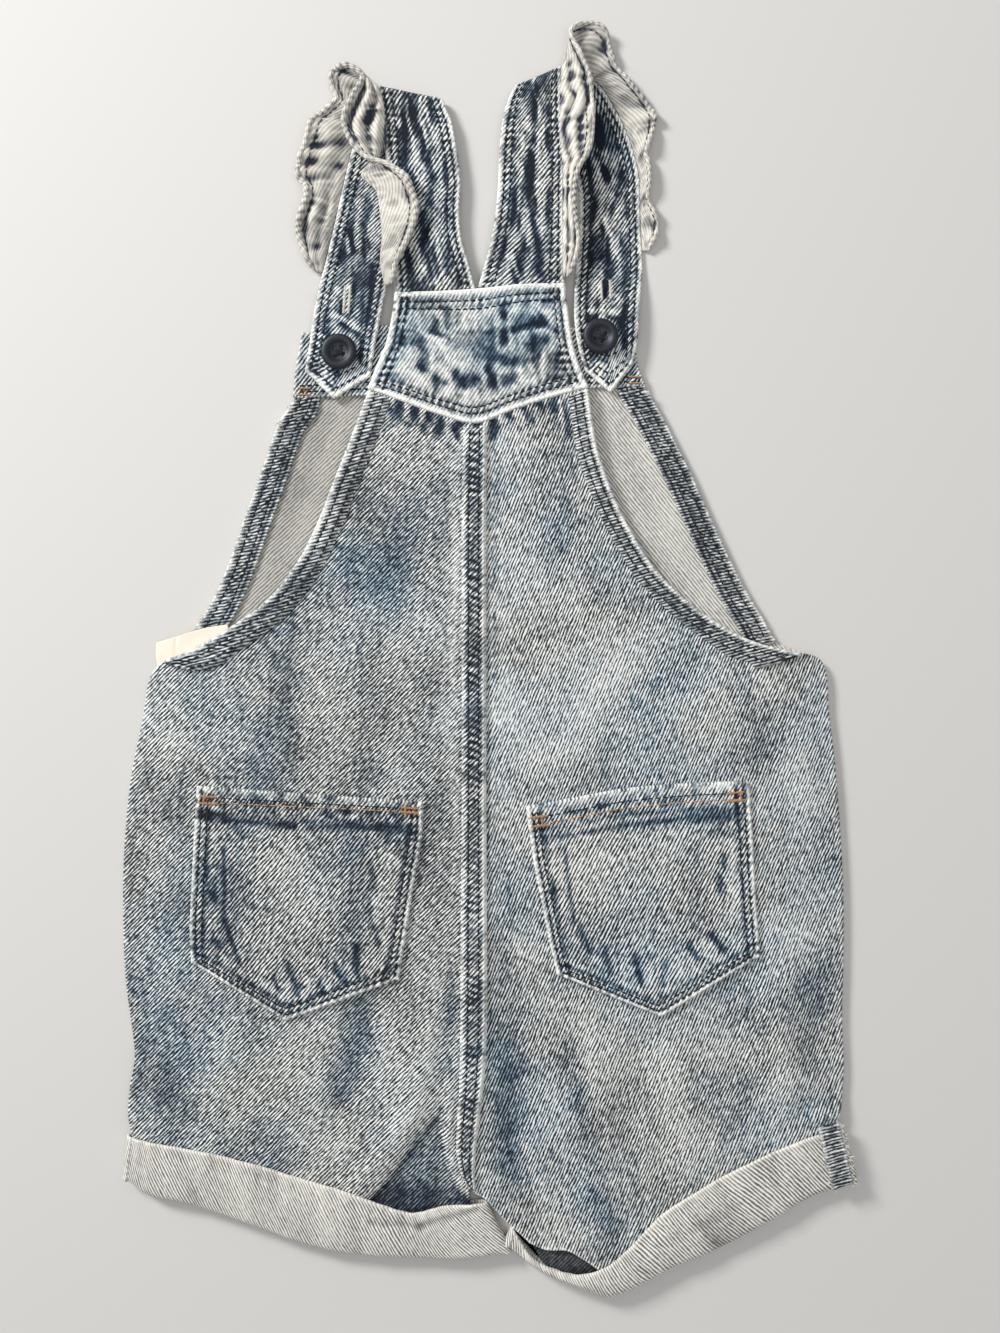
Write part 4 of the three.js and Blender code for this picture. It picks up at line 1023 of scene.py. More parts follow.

# x1, y1, x2, y2, width, depth: darker (negative) and lighter lines under the yoke, beside the seam
# and down the legs: dyed hollows and rubbed ridges of the wash, and painted shade and painted
# highlight along the soft folds.
BACK_MARKS = [
    (-38.7, 94, -38.7, 92.5, 1.3, -0.8), (-35.2, 93.4, -34.5, 90.5, 2.0, -0.7),
    (-29.8, 93.5, -28.5, 88.5, 2.2, -0.75), (-23.5, 90.5, -20.5, 86.5, 2.8, -0.65),
    (-15.6, 87.5, -13.2, 82.5, 1.5, -0.8), (-18.4, 91.5, -13.4, 80.5, 0.9, 0.8),
    (-26.6, 94.5, -24.4, 89, 0.9, 0.7), (-32.6, 95, -31.6, 89.5, 0.9, 0.7),
    (0.2, 84.5, 2.6, 88, 2.4, -0.95), (8.3, 90, 9, 87.5, 1.8, -0.5),
    (14.3, 92.5, 15.2, 89.5, 1.7, -0.75), (18.8, 96, 20, 94, 1.6, -0.7),
    (23.2, 96.5, 24, 93.5, 1.5, -0.7), (27.4, 97, 29.2, 84, 1.2, -0.7),
    (11.2, 93.5, 12, 87.5, 0.9, 0.65), (17, 94.5, 17.6, 89, 0.9, 0.6),
    (25.4, 97, 26.8, 88, 0.9, 0.6), (5.6, 90, 5.8, 84.5, 0.9, 0.6),
    (-14.4, 76, -14.2, 20, 1.1, 0.45), (-14.6, 20, -14.4, -60, 1.1, 0.4),
    (1.2, 78, 1, -10, 1.6, -0.3), (-112, -30, -104, -6, 7, -0.1), (-66, -36, -50, -6, 9, -0.08),
    (-44, 20, -34, 66, 12, -0.1), (22, 40, 30, 80, 8, -0.08), (26, 20, 60, -30, 12, 0.1),
    (-54, -132, -64, -174, 4.5, -0.12), (-36, -146, -60, -188, 4, 0.3),
    (-18, -146, -44, -196, 5, 0.15), (-24, -132, -30, -152, 4, -0.08),
    (-16.4, -120, -17, -158, 1.8, -0.3), (-92, -150, -100, -186, 6, -0.08),
    (-98, -138, -106, -160, 4, 0.15), (20, -150, 34, -196, 4, 0.15), (27, -146, 46, -214, 5, -0.12),
    (42, -206, 46, -226, 5, -0.25), (0, -150, 4, -186, 4, -0.1), (10, -176, 22, -214, 5, 0.15),
    (98, -134, 106, -158, 5, -0.15), (108, -138, 112, -160, 2.5, 0.3),
    (84, -160, 92, -196, 6, -0.1), (62, 8, 20, -38, 9, 0.5), (-122, -8, -122, -32, 7, 0.4),
    (-122, -48, -118, -96, 10, -0.2), (-78, 8, -80, -48, 8, -0.26), (-36, 14, -36, -44, 7, 0.2),
    (-24, -124, -24, -150, 6, 0.4), (-34, -158, -39, -176, 6, 0.45),
    (-82, -140, -72, -172, 12, 0.3), (-127, -138, -122, -186, 11, -0.24),
    (4, -120, 8, -196, 8, -0.22), (28, -156, 36, -206, 9, -0.14), (40, -140, 92, -146, 10, 0.3),
    (97, -140, 98, -190, 8, -0.14), (118, -40, 118, -112, 7, 0.4), (96, 0, 98, -38, 5, -0.2),
    (42, -26, 44, -54, 10, -0.22), (-98, -8, -92, -40, 3, -0.2), (-88, -4, -94, -34, 2.5, 0.25),
    (-50, 60, -58, 30, 7, -0.2), (6, 84, 14, 30, 6, 0.25), (30, 88, 28, 40, 4, -0.2),
    (-62, -2, -66, -40, 5, 0.2), (124, -120, 122, -180, 8, -0.14), (0, -30, 4, -120, 5, -0.2)]

# The fold beside the crotch on the left leg: its edge, and the far side of its hollow.
FOLD_EDGE = [(-17.2, -165), (-18.4, -169.5), (-22, -174.4), (-26.8, -180.2), (-31, -186),
             (-35.4, -191.8), (-40.2, -198.4), (-45.6, -204.6), (-51, -210)]
HOLLOW_SIDE = [(-17, -163), (-18.6, -172), (-18.7, -181), (-17.4, -190), (-15, -198), (-12, -203),
               (-7.5, -206.5)]
# The roll between that hollow and the seam.
CROTCH_ROLL = [(-15.6, -160, -16.2, -182, 2.0, 0.7), (-16.2, -182, -14.6, -192, 1.9, 0.7),
               (-14.6, -192, -11.4, -200, 1.6, 0.7), (-11.4, -200, -6, -204.4, 1.2, 0.7)]


def beside(x, y, line):
    """Distance from a line of points, positive on its right as it runs."""
    best = np.full(np.shape(x), 1e9)
    signed = np.zeros(np.shape(x))
    for (x1, y1), (x2, y2) in zip(line[:-1], line[1:]):
        dx, dy = x2 - x1, y2 - y1
        t = np.clip(((x - x1) * dx + (y - y1) * dy) / (dx * dx + dy * dy), 0, 1)
        off_x, off_y = x - x1 - t * dx, y - y1 - t * dy
        distance = np.hypot(off_x, off_y)
        side = np.where(dx * off_y - dy * off_x < 0, 1, -1)
        nearer = distance < best
        best = np.where(nearer, distance, best)
        signed = np.where(nearer, side * distance, signed)
    return signed


def crotch_fold(x, y):
    """Height, and painted shade and highlight, of the crotch fold's hollow, ridge and roll."""
    past_fold = beside(x, y, FOLD_EDGE)
    before_side = beside(x, y, HOLLOW_SIDE)
    starts = ramp(-164, -172, y)
    off_seam = ramp(-8, -18, x)
    hollow = ramp(0.4, -1.2, past_fold) * ramp(-0.6, 1.6, before_side) * starts
    shade = 0.36 + 0.3 * ramp(-196, -207, y) + 0.3 * bell(past_fold, 2.4)
    shade = shade + 0.3 * bell(before_side, 1.6) * ramp(-185, -198, y)
    ridge = bell(past_fold - 6.5, 4.2) * starts * off_seam
    lip = bell(past_fold - 0.9, 0.8) * ramp(-178, -196, y) * off_seam
    roll = fold_lift(x, y, CROTCH_ROLL)
    lift = 0.8 * ridge - 1.2 * hollow + roll
    return lift, 0.3 * ridge + 0.4 * lip - hollow * shade + 0.5 * roll


def back_folds(x, y):
    """The height of the back's fine folds, which whatever lies on it follows."""
    folds = fold_lift(x, y, FINE_FOLDS)
    quiet = 1 - inside_cuff(x, y)
    waves = 0.28 * noise_2d(x, y, 26, 11) + 0.12 * noise_2d(x, y, 11, 12)
    near_seam = ramp(3, 9, np.abs(x - CENTRE_X))
    return (folds + waves) * quiet * ramp(0, 12, from_side(x)) * near_seam


# %% [markdown]
# The front
#
# The front lies on the floor with its wrong side up, so only its pale inner face shows, in the
# two armhole windows; at the leg ends that face is painted dark, as shade in the openings. It is
# cut as two halves. It could be one flat sheet, but the halves follow the cutter's pattern and the
# real seam.

# %% The two halves of the front
# Below this y the front's faces are painted dark, as shade in the leg openings.
PAINTED_SHADE_FROM = -150

# x1, y1, x2, y2, width, depth: painted shade of soft folds, and rubs, on the front's inner face.
WINDOW_MARKS = [
    (-62, 92, -74, 66, 5, -0.3), (-74, 66, -84, 40, 6, -0.2), (-56, 96, -66, 70, 3, 0.3),
    (-70, 56, -78, 36, 4, 0.25), (-88, 36, -98, 20, 4, 0.2), (48, 92, 58, 60, 4, -0.2),
    (56, 84, 70, 50, 4, 0.25), (66, 52, 82, 22, 5, 0.2), (60, 44, 76, 20, 3, -0.2)]


def front_piece(side, place, seed):
    name = f"front_{side}"
    cloth = Cloth(place, spread(135, 2.6, 1.0, 8), even(place, 2.4, 0.8, 6))
    window = ramp(0.5, 0.4, cloth.vs)[:, None]
    cloth.lift += window * (0.12 * noise_2d(cloth.x, cloth.y, 12, seed)
                            + puckers(cloth.along[:, :1], cloth.from_outer - 9, 6, 0.14, 5, seed))
    # The folds' heights and the marks darken and lighten the pale face: painted shade and painted
    # highlight.
    cloth.relief += cloth.lift * 1.4 + fold_lift(cloth.x, cloth.y, WINDOW_MARKS)
    cloth.roll(cloth.from_outer, 0.9, 0.1, 0.4)
    piece = cloth.finish(name, front_under, CLOTH, [INSIDE_DENIM[side], PANEL_DENIM[side]],
                         follow=False)
    # Painted shade: the leg ends take the dark denim.
    piece.data.materials.append(LEG_OPENING_SHADE)
    for face in piece.data.polygons:
        if face.material_index == 0 and face.center.y < PAINTED_SHADE_FROM * MM:
            face.material_index = 2
    dress(piece, name, "denim_inside", (136, 352), area=34500)


front_piece("left", front_left, 21)
front_piece("right", front_right, 22)

# %% [markdown]
# The back
#
# The back carries the folds that the eye reads first: soft diagonals at the crotch and down the
# legs, and short puckers wherever a seam draws the cloth in, dark in their hollows with dye and
# painted shade. They could come from a cloth simulation, but then they would not fall where the
# photograph has them. So the long folds are lines with a width and a height, and the puckers are
# waves that die away from each seam.

# %% The two halves of the back
# How far down each half the armhole's hem runs, as a share, and its width.
ARMHOLE_END = {"left": 0.405, "right": 0.495}
HEM_WIDTH = {"left": 8.4, "right": 7.0}


def back_piece(side, place, seed):
    name = f"back_{side}"
    cloth = Cloth(place, spread(130, 1.5, 0.55, 6), even(place, 1.5, 0.65, 6))
    cloth.shape(back_folds(cloth.x, cloth.y), 0.35)
    if side == "left":
        # The crotch fold's colour is painted light: shade in its hollow, highlight on its ridge.
        lift, dye_and_shade = crotch_fold(cloth.x, cloth.y)
        cloth.lift += lift
        cloth.relief += dye_and_shade
    marks = fold_lift(cloth.x, cloth.y, BACK_MARKS)
    cloth.relief += marks
    cloth.lift += 0.15 * marks
    end = ARMHOLE_END[side]
    armhole = ramp(end + 0.03, end - 0.01, cloth.vs)[:, None]
    below_hem = cloth.from_outer - HEM_WIDTH[side]
    cloth.shape(armhole * ramp(-2, 0.5, below_hem)
                * puckers(cloth.along[:, :1], below_hem, 5.5, 0.22, 4.0, seed), 1.8)
    below_yoke = cloth.from_top - 1.5
    yoke_end = ramp(4, 12, cloth.from_outer)
    pull = puckers(cloth.across, below_yoke, 6.5, 0.4, 7.0, seed + 4)
    cloth.shape(yoke_end * pull, 2.0)
    # A darker band just below the yoke's edge: painted shade under it.
    cloth.relief -= 0.35 * yoke_end * np.exp(-np.maximum(below_yoke, 0) / 3)
    beside_seam = cloth.from_inner - 4.2
    fine = puckers(cloth.along[:, -1:], beside_seam, 4.2, 0.16, 2.6, seed + 8)
    cloth.shape(fine * ramp(-1, 0.4, beside_seam), 1.8)
    small = crumple(cloth.x * 1.3, cloth.y * 0.8, 9, seed + 10)
    cloth.relief += 0.08 * small + 0.08 * noise_2d(cloth.x, cloth.y, 3.2, seed + 11)
    glow = 0.3 * bell(beside_seam - 2.5, 5) * ramp(0.75, 0.4, cloth.vs)[:, None]
    cloth.wear = np.maximum(cloth.wear, glow)
    below_armhole = ramp(end, end + 0.04, cloth.vs)[:, None]
    rubbed_side = 0.3 * below_armhole * bell(cloth.from_outer, 1.5)
    cloth.wear = np.maximum(cloth.wear, rubbed_side)
    if side == "right":
        cloth.roll(cloth.from_hem, 1.0, 0.3, 0.6, 0.4, seed + 12)
        inseam = ramp(-184, -190, cloth.y) * bell(cloth.from_inner, 1.0)
        cloth.wear = np.maximum(cloth.wear, 0.7 * inseam)
    piece = cloth.finish(name, back_under, CLOTH, [PANEL_DENIM[side], INSIDE_DENIM[side]])
    dress(piece, name, "denim", (136, 326), area=32500, rests_on=["front_left", "front_right"])
    return cloth


back_left_cloth = back_piece("left", back_left, 31)
back_piece("right", back_right, 41)
print("back folds from", round(float(back_left_cloth.lift.min()), 2), "to",
      round(float(back_left_cloth.lift.max()), 2), "mm")

# %% [markdown]
# Turned hems
#
# The armhole edges and the bib's sides are turned in and sewn twice, so they are thick, rubbed
# pale on the fold and roped: the two rows of stitches pull the cloth between them into a ladder
# of short slanted ridges. One function makes such a band on any panel's edge.

# %% Bands along a panel's edge
def edge_band(place, start, stop, width, inset=0.2, skew=0.0):
    """Skew moves the inner end of the band's first row towards the panel's top."""
    def band(u, v):
        u, v = paired(u, v)
        along = start + (stop - start) * v - skew * u * (1 - v)
        edge = place(np.zeros_like(along), along)
        inward = place(np.ones_like(along), along) - edge
        ahead = (place(np.zeros_like(along), np.minimum(along + 0.01, 1))
                 - place(np.zeros_like(along), np.maximum(along - 0.01, 0)))
        reach = np.abs(cross_2d(inward, ahead)) / np.linalg.norm(ahead, axis=-1)
        return edge + inward * ((inset + width * u) / reach)[..., None]

    return band


def roped(cloth, rows, pitch, depth, seed, slant=0.5):
    """Sinks the stitch rows and ropes the cloth between and beside them."""
    low, high = rows
    across, still = cloth.across, 0 * cloth.across
    between = ramp(low - 0.8, low + 0.5, across) * ramp(high + 0.8, high - 0.5, across)
    ladder = puckers(cloth.along, still, pitch, depth, 1, seed)
    shifted = puckers(cloth.along + slant * across, still, pitch, depth, 1, seed)
    cloth.shape(between * shifted + (1 - between) * 0.4 * ladder, 3.4)
    cloth.sink_rows(across, rows)


def on_back(x, y):
    return back_under(x, y) + back_folds(x, y) + CLOTH + 0.05


def sew_hem(cloth, piece, name, width, rows, samples, seed):
    """Hides a doubled hem's solid and sews its rows."""
    length = cloth.along[-1].mean()
    dress(piece, name, "worn_hem", (2 * width, length), area=width * length)
    for row in rows:
        navy_thread.row(cloth.line(row / width, np.linspace(0.004, 0.996, samples)), seed=seed)


def armhole_hem(side, place, seed):
    name, width = f"armhole_hem_{side}", HEM_WIDTH[side]
    band = edge_band(place, 0.003, ARMHOLE_END[side], width)
    cloth = Cloth(band, spread(width, 0.5, 0.35, 1.5), even(band, 0.62, 0.5))
    rows = (0.3 * width, 0.72 * width)
    corner = 0.12 + 0.2 * ramp(0.6, 0.95, cloth.vs)[:, None]
    roped(cloth, rows, 2.5, corner, seed)
    cloth.roll(cloth.across, 1.3, 0.25, 1.0, 0.15, seed)
    cloth.relief += 0.25 * noise_2d(cloth.x, cloth.y, 1.6, seed + 3)
    last = cloth.across[:, -1:] - cloth.across
    thick = 0.45 + 1.15 * ramp(0.2, 2.4, last)
    piece = cloth.finish(name, on_back, thick, [HEM_DENIM, HEM_DENIM], follow=False)
    sew_hem(cloth, piece, name, width, rows, 700, seed)


armhole_hem("left", back_left, 51)
armhole_hem("right", back_right, 61)


def bib_side_hem(side, place, start, end, seed):
    """The bib's narrow hem shows its wrong side: a fuzzy fold outside, a ladder, a pale fold."""
    name, width = f"bib_side_hem_{side}", 9.5
    band = edge_band(place, start, end, width, skew=0.03)
    cloth = Cloth(band, spread(width, 0.5, 0.35, 1.5), even(band, 0.62, 0.5))
    rows = (2.6, 6.4)
    roped(cloth, rows, 2.5, 0.2, seed)
    cloth.roll(cloth.across, 1.1, 0.25, 1.0, 0.2, seed)
    inner = cloth.across[:, -1:] - cloth.across
    cloth.roll(inner, 0.6, 0.1, 0.75, 0.5, seed + 1)
    cloth.relief -= 0.7 * bell(inner - 1.5, 0.5)
    cloth.relief += 0.3 * noise_2d(cloth.x, cloth.y, 1.4, seed + 3)
    under = lambda x, y: on_front(x, y) - 0.15
    piece = cloth.finish(name, under, 0.9, [BIB_HEM_DENIM, BIB_HEM_DENIM], follow=False)
    sew_hem(cloth, piece, name, width, rows, 600, seed)


bib_side_hem("left", front_left, 0.100, 0.402, 71)
bib_side_hem("right", front_right, 0.088, 0.47, 81)

# %% The bib's deep top hem
bib_top_place = panel(
    outer=[(-72.3, 123.2), (-74.8, 109), (-75.7, 99)],
    inner=[(53.8, 123.2), (55.3, 111), (57.9, 103.6)],
    top=[(-72.3, 123.2), (-40, 126.3), (-8, 126.8), (22.5, 125.9), (53.8, 123.2)],
    hem=[(-75.7, 99), (-42, 100.4), (-8, 101.4), (26.5, 102.5), (57.9, 103.6)])


def bib_top_hem():
    cloth = Cloth(bib_top_place, spread(130, 1.4, 0.5, 4), spread(24, 0.7, 0.4, 3))
    cloth.shape(0.12 * noise_2d(cloth.x, cloth.y, 7, 91), 1.5)
    cloth.roll(cloth.from_top, 1.0, 0.25, 0.9, 0.4, 92)
    cloth.roll(cloth.from_hem, 0.8, 0.15, 0.7, 0.5, 93)
    for distance, seed in ((cloth.from_outer, 94), (cloth.from_inner, 95)):
        cloth.roll(distance, 0.9, 0.2, 0.8, 0.4, seed)
    piece = cloth.finish("bib_top_hem", on_front, TRIM, [STRAP_DENIM, STRAP_DENIM],
                         follow=False)
    dress(piece, "bib_top_hem", "denim_inside", (131, 25))
    for v in (0.78, 0.9):
        navy_thread.row(cloth.line(np.linspace(0.01, 0.99, 500), v), seed=96)


bib_top_hem()

# %% [markdown]
# The centre seam and the yoke
#
# The centre-back seam is felled: one allowance wraps the other and two rows hold them, so it
# stands up as a roped strip with a rolled pale edge on its right. The yoke is a small pointed
# panel, sewn twice all round, worn pale with dark hollows. Both are their own pieces because a
# maker cuts or folds them separately.

# %% The felled centre seam
SEAM_WIDTH = 9
# left x, right x, y of the strip, from the yoke to the crotch
SEAM_STRIP = [
    (-10.8, -2.2, 87.2), (-11.5, -2.5, 55), (-11.5, -2.5, 22), (-11.5, -2.5, -16),
    (-11.5, -2.5, -54), (-11.8, -2.3, -92), (-12, -2.2, -130), (-12.2, -2.7, -153),
    (-12.6, -4.2, -168), (-13.4, -5.6, -179.5), (-13.4, -6.6, -189), (-11.6, -7, -196.5),
    (-9, -6.6, -201.5)]
seam_place = panel(outer=[(left, y) for left, right, y in SEAM_STRIP],
                   inner=[(right, y) for left, right, y in SEAM_STRIP])


def centre_seam():
    cloth = Cloth(seam_place, spread(SEAM_WIDTH, 0.5, 0.35, 1.5), even(seam_place, 0.7, 0.5))
    cloth.across *= SEAM_WIDTH / np.maximum(cloth.across[:, -1:], 4)
    rows = (2.4, 6.2)
    roped(cloth, rows, 3.0, 0.2, 101, slant=-0.3)
    right = cloth.across[:, -1:] - cloth.across
    cloth.roll(right, 1.5, 0.35, 1.0, 0.2, 102)
    cloth.roll(cloth.across, 1.1, 0.15, 0.75, 0.4, 103)
    between = cloth.across - 4.3
    cloth.relief -= 0.34 * bell(between, 1.5)
    cloth.rub_ladder(between, cloth.along, 0.9, 3.0, 105, always=0, steps=0.45)
    cloth.relief -= 0.4 * bell(right - 1.9, 0.35)
    thick = 0.4 + 1.2 * ramp(0, 1.6, cloth.across) * ramp(0, 0.8, right)
    cloth.relief += 0.35 * noise_2d(cloth.x * 0.4, cloth.y, 5, 104)
    piece = cloth.finish("centre_back_seam", on_back, thick, [SEAM_DENIM, HEM_DENIM],
                         follow=False)
    dress(piece, "centre_back_seam", "denim", (2 * SEAM_WIDTH, 290), area=SEAM_WIDTH * 290,
          rests_on=["back_left"])
    for row in rows:
        path = cloth.line(row / SEAM_WIDTH, np.linspace(0.003, 0.985, 1400))
        navy_thread.row(path, seed=int(row))


centre_seam()

# %% The pointed yoke
yoke_place = panel(
    outer=[(-36.5, 138.2), (-38, 128), (-40, 119), (-44, 109.4), (-46.7, 102.2)],
    inner=[(27, 141.6), (28.2, 132), (29.8, 120.5), (32.4, 111), (35.9, 102.7)],
    top=[(-36.5, 138.2), (-19, 138.7), (-4, 139.7), (11, 141.3), (27, 141.6)],
    hem=[(-46.7, 102.2), (-34.5, 97.8), (-19, 92.3), (-6.5, 89.3), (7.5, 94.3), (22.5, 99.2),
         (35.9, 102.7)])


# x1, y1, x2, y2, width, depth: the yoke's dyed hollows and rubbed ridges; the dark marks under
# the wavy fold near its top are partly painted shade.
YOKE_MARKS = [
    (-15, 120, 5, 120.6, 3.0, -0.55), (-11, 116, 2, 115.6, 3.2, -0.35),
    (-15, 123, 5, 123.6, 1.1, -0.5), (-36.5, 121.5, -29, 119.6, 2.8, -0.85),
    (-31, 124, -26.5, 120.5, 1.2, -0.7), (-27, 120, -20, 115, 2.4, -0.5),
    (-24, 123.6, -17, 121.8, 1.1, -0.8), (-24, 121.8, -20, 119.6, 0.8, 0.9),
    (-20, 119.6, -15.8, 112, 0.9, 0.7), (7.5, 124.4, 20, 126.8, 1.2, -0.9),
    (15.6, 125, 14.6, 113, 1.5, -0.85), (20.6, 121.4, 20.4, 119.4, 1.6, -0.85),
    (18, 126.4, 25, 123.6, 1.1, -0.9), (9, 122, 13, 116, 2.0, -0.4),
    (24.4, 116, 24.2, 106.4, 1.4, -0.85), (9.4, 113, 6.8, 105.6, 1.5, -0.7),
    (12.4, 112, 13, 108.6, 1.2, -0.6), (3, 131.4, 4.6, 128.6, 1.8, -0.75),
    (17, 131.8, 19.4, 129, 1.1, -0.7), (-26, 130.4, -25.4, 126.4, 0.9, -0.6),
    (-13.4, 130.6, -14, 126, 1.1, -0.65), (-28.4, 110.4, -26, 108.4, 1.7, -0.65),
    (-22, 106.6, -18, 103.6, 1.2, -0.6), (-14, 108.6, -9.6, 102.6, 1.6, -0.8),
    (-6.2, 105.2, -5, 103.2, 2.2, -0.95), (-1.6, 109.6, -1, 107.8, 1.3, -0.7),
    (1, 105, 2.4, 101.4, 1.1, -0.7), (-13.6, 100.4, -12.6, 96.4, 1.2, -0.7),
    (18, 108, 18.6, 104, 1.0, -0.5), (-34, 130, -18, 130, 3.2, 0.3), (-10, 128.4, 1, 129, 3.2, 0.4),
    (8, 131, 22, 132, 2.2, 0.4), (-35, 110, -24, 104, 2.6, 0.4), (-6, 98, 3, 98.6, 1.6, 0.5),
    (-15.4, 103.6, -17, 99, 1.0, 0.7), (2.4, 111.6, -2, 106, 1.2, 0.5),
    (11, 108, 8, 101.6, 1.4, 0.6), (20, 112, 16, 104.6, 1.4, 0.6), (-11, 112, -12.6, 106, 0.9, 0.5),
    (-9, 101.6, -10.4, 97, 1.0, 0.6), (25, 120, 22, 108, 0.9, 0.5)]


# Distances of the yoke's two rows of stitches from its top, its foot and its sides.
YOKE_TOP_ROWS, YOKE_FOOT_ROWS, YOKE_SIDE_ROWS = (3.4, 6.2), (3.2, 5.7), (2.3, 4.6)


def back_yoke():
    cloth = Cloth(yoke_place, spread(76, 0.7, 0.4, 5), spread(44, 0.6, 0.4, 5))
    edges = [(cloth.from_top, cloth.across, YOKE_TOP_ROWS, 111),
             (cloth.from_hem, cloth.across, YOKE_FOOT_ROWS, 112),
             (cloth.from_outer, cloth.along, YOKE_SIDE_ROWS, 113),
             (cloth.from_inner, cloth.along, YOKE_SIDE_ROWS, 114)]
    middle = np.minimum.reduce([edge[0] for edge in edges])
    body = ramp(4, 8, middle)
    patchy = 0.85 + 0.35 * noise_2d(cloth.x, cloth.y, 1.8, 120)
    marks = np.clip(fold_lift(cloth.x, cloth.y, YOKE_MARKS), -0.75, 1) * patchy
    cloth.lift += 0.3 * marks * body
    cloth.relief += marks * ramp(2, 5, middle)
    cloth.shape(body * 0.17 * crumple(cloth.x * 1.4, cloth.y * 0.8, 6, 115), 3.0)
    cloth.relief += 0.2 * noise_2d(cloth.x * 1.6, cloth.y, 2.6, 119)
    for distance, s, rows, seed in edges:
        first, second = rows
        near = ramp(second + 6, second - 1, distance)
        reach = np.maximum(distance - second, 0)
        cloth.relief -= 0.12 * bell(distance - second + 1, 2.2)
        cloth.rub_ladder(distance - (first + second) / 2, s, 0.8, 2.7, seed + 20)
        ladder = near * puckers(s, reach, 3.0, 0.24, 2.2, seed)
        cloth.shape(ladder * ramp(first - 1, first, distance), 2.6)
        cloth.sink_rows(distance, rows)
        cloth.roll(distance, 1.5, 0.35, 1.0, 0.1, seed)
    piece = cloth.finish("back_yoke", on_yoke, CLOTH + 0.3, [YOKE_DENIM, YOKE_DENIM], follow=False)
    dress(piece, "back_yoke", "denim", (84, 54), area=3500, rests_on=["back_left", "back_right"])
    along = np.linspace(0.02, 0.98, 500)
    height, width = cloth.along[-1].mean(), cloth.across[:, -1].mean()
    for row in YOKE_TOP_ROWS:
        navy_thread.row(cloth.line(along, row / height), seed=115)
    for row in YOKE_FOOT_ROWS:
        navy_thread.row(cloth.line(along, 1 - row / height), seed=116)
    for row in YOKE_SIDE_ROWS:
        navy_thread.row(cloth.line(row / width, along), seed=117)
        navy_thread.row(cloth.line(1 - row / width, along), seed=118)


back_yoke()

# %% [markdown]
# Patch pockets
#
# Each pocket is one piece with a turned top hem and a pointed foot, sewn on with twin rows and
# barred at the mouth with tan thread. Its edges are the most rubbed lines of the back. The mouth
# stands a little proud, so a thin shadow shows it is open, and a dark line is painted under the
# hem as more of that shadow.

# %% Where the pockets lie and crease
pocket_left_sides = panel(
    outer=[(-111.5, -49.5), (-112.5, -65.5), (-113.5, -84.5), (-114, -103.5), (-113.5, -115.5)],
    inner=[(-27, -55.5), (-27, -65.5), (-30, -84.5), (-33, -103.5), (-36, -122)])
pocket_right_sides = panel(
    outer=[(96.5, -47.5), (98, -65.5), (99, -84.5), (100, -100), (101, -113)],
    inner=[(13.5, -57), (16, -77), (19, -92), (22, -107.5), (25, -120)],
    top=[(96.5, -47.5), (72, -48.5), (49, -50.5), (30, -54), (13.5, -57)])


def pointed(place, tip, drop):
    """Lowers a pocket's foot to a point at the share tip of its width."""
    def lowered(u, v):
        u, v = paired(u, v)
        point = place(u, v)
        share = np.where(u < tip, u / tip, (1 - u) / (1 - tip))
        point[..., 1] -= drop * share * ramp(0.35, 1, v)
        return point

    return lowered


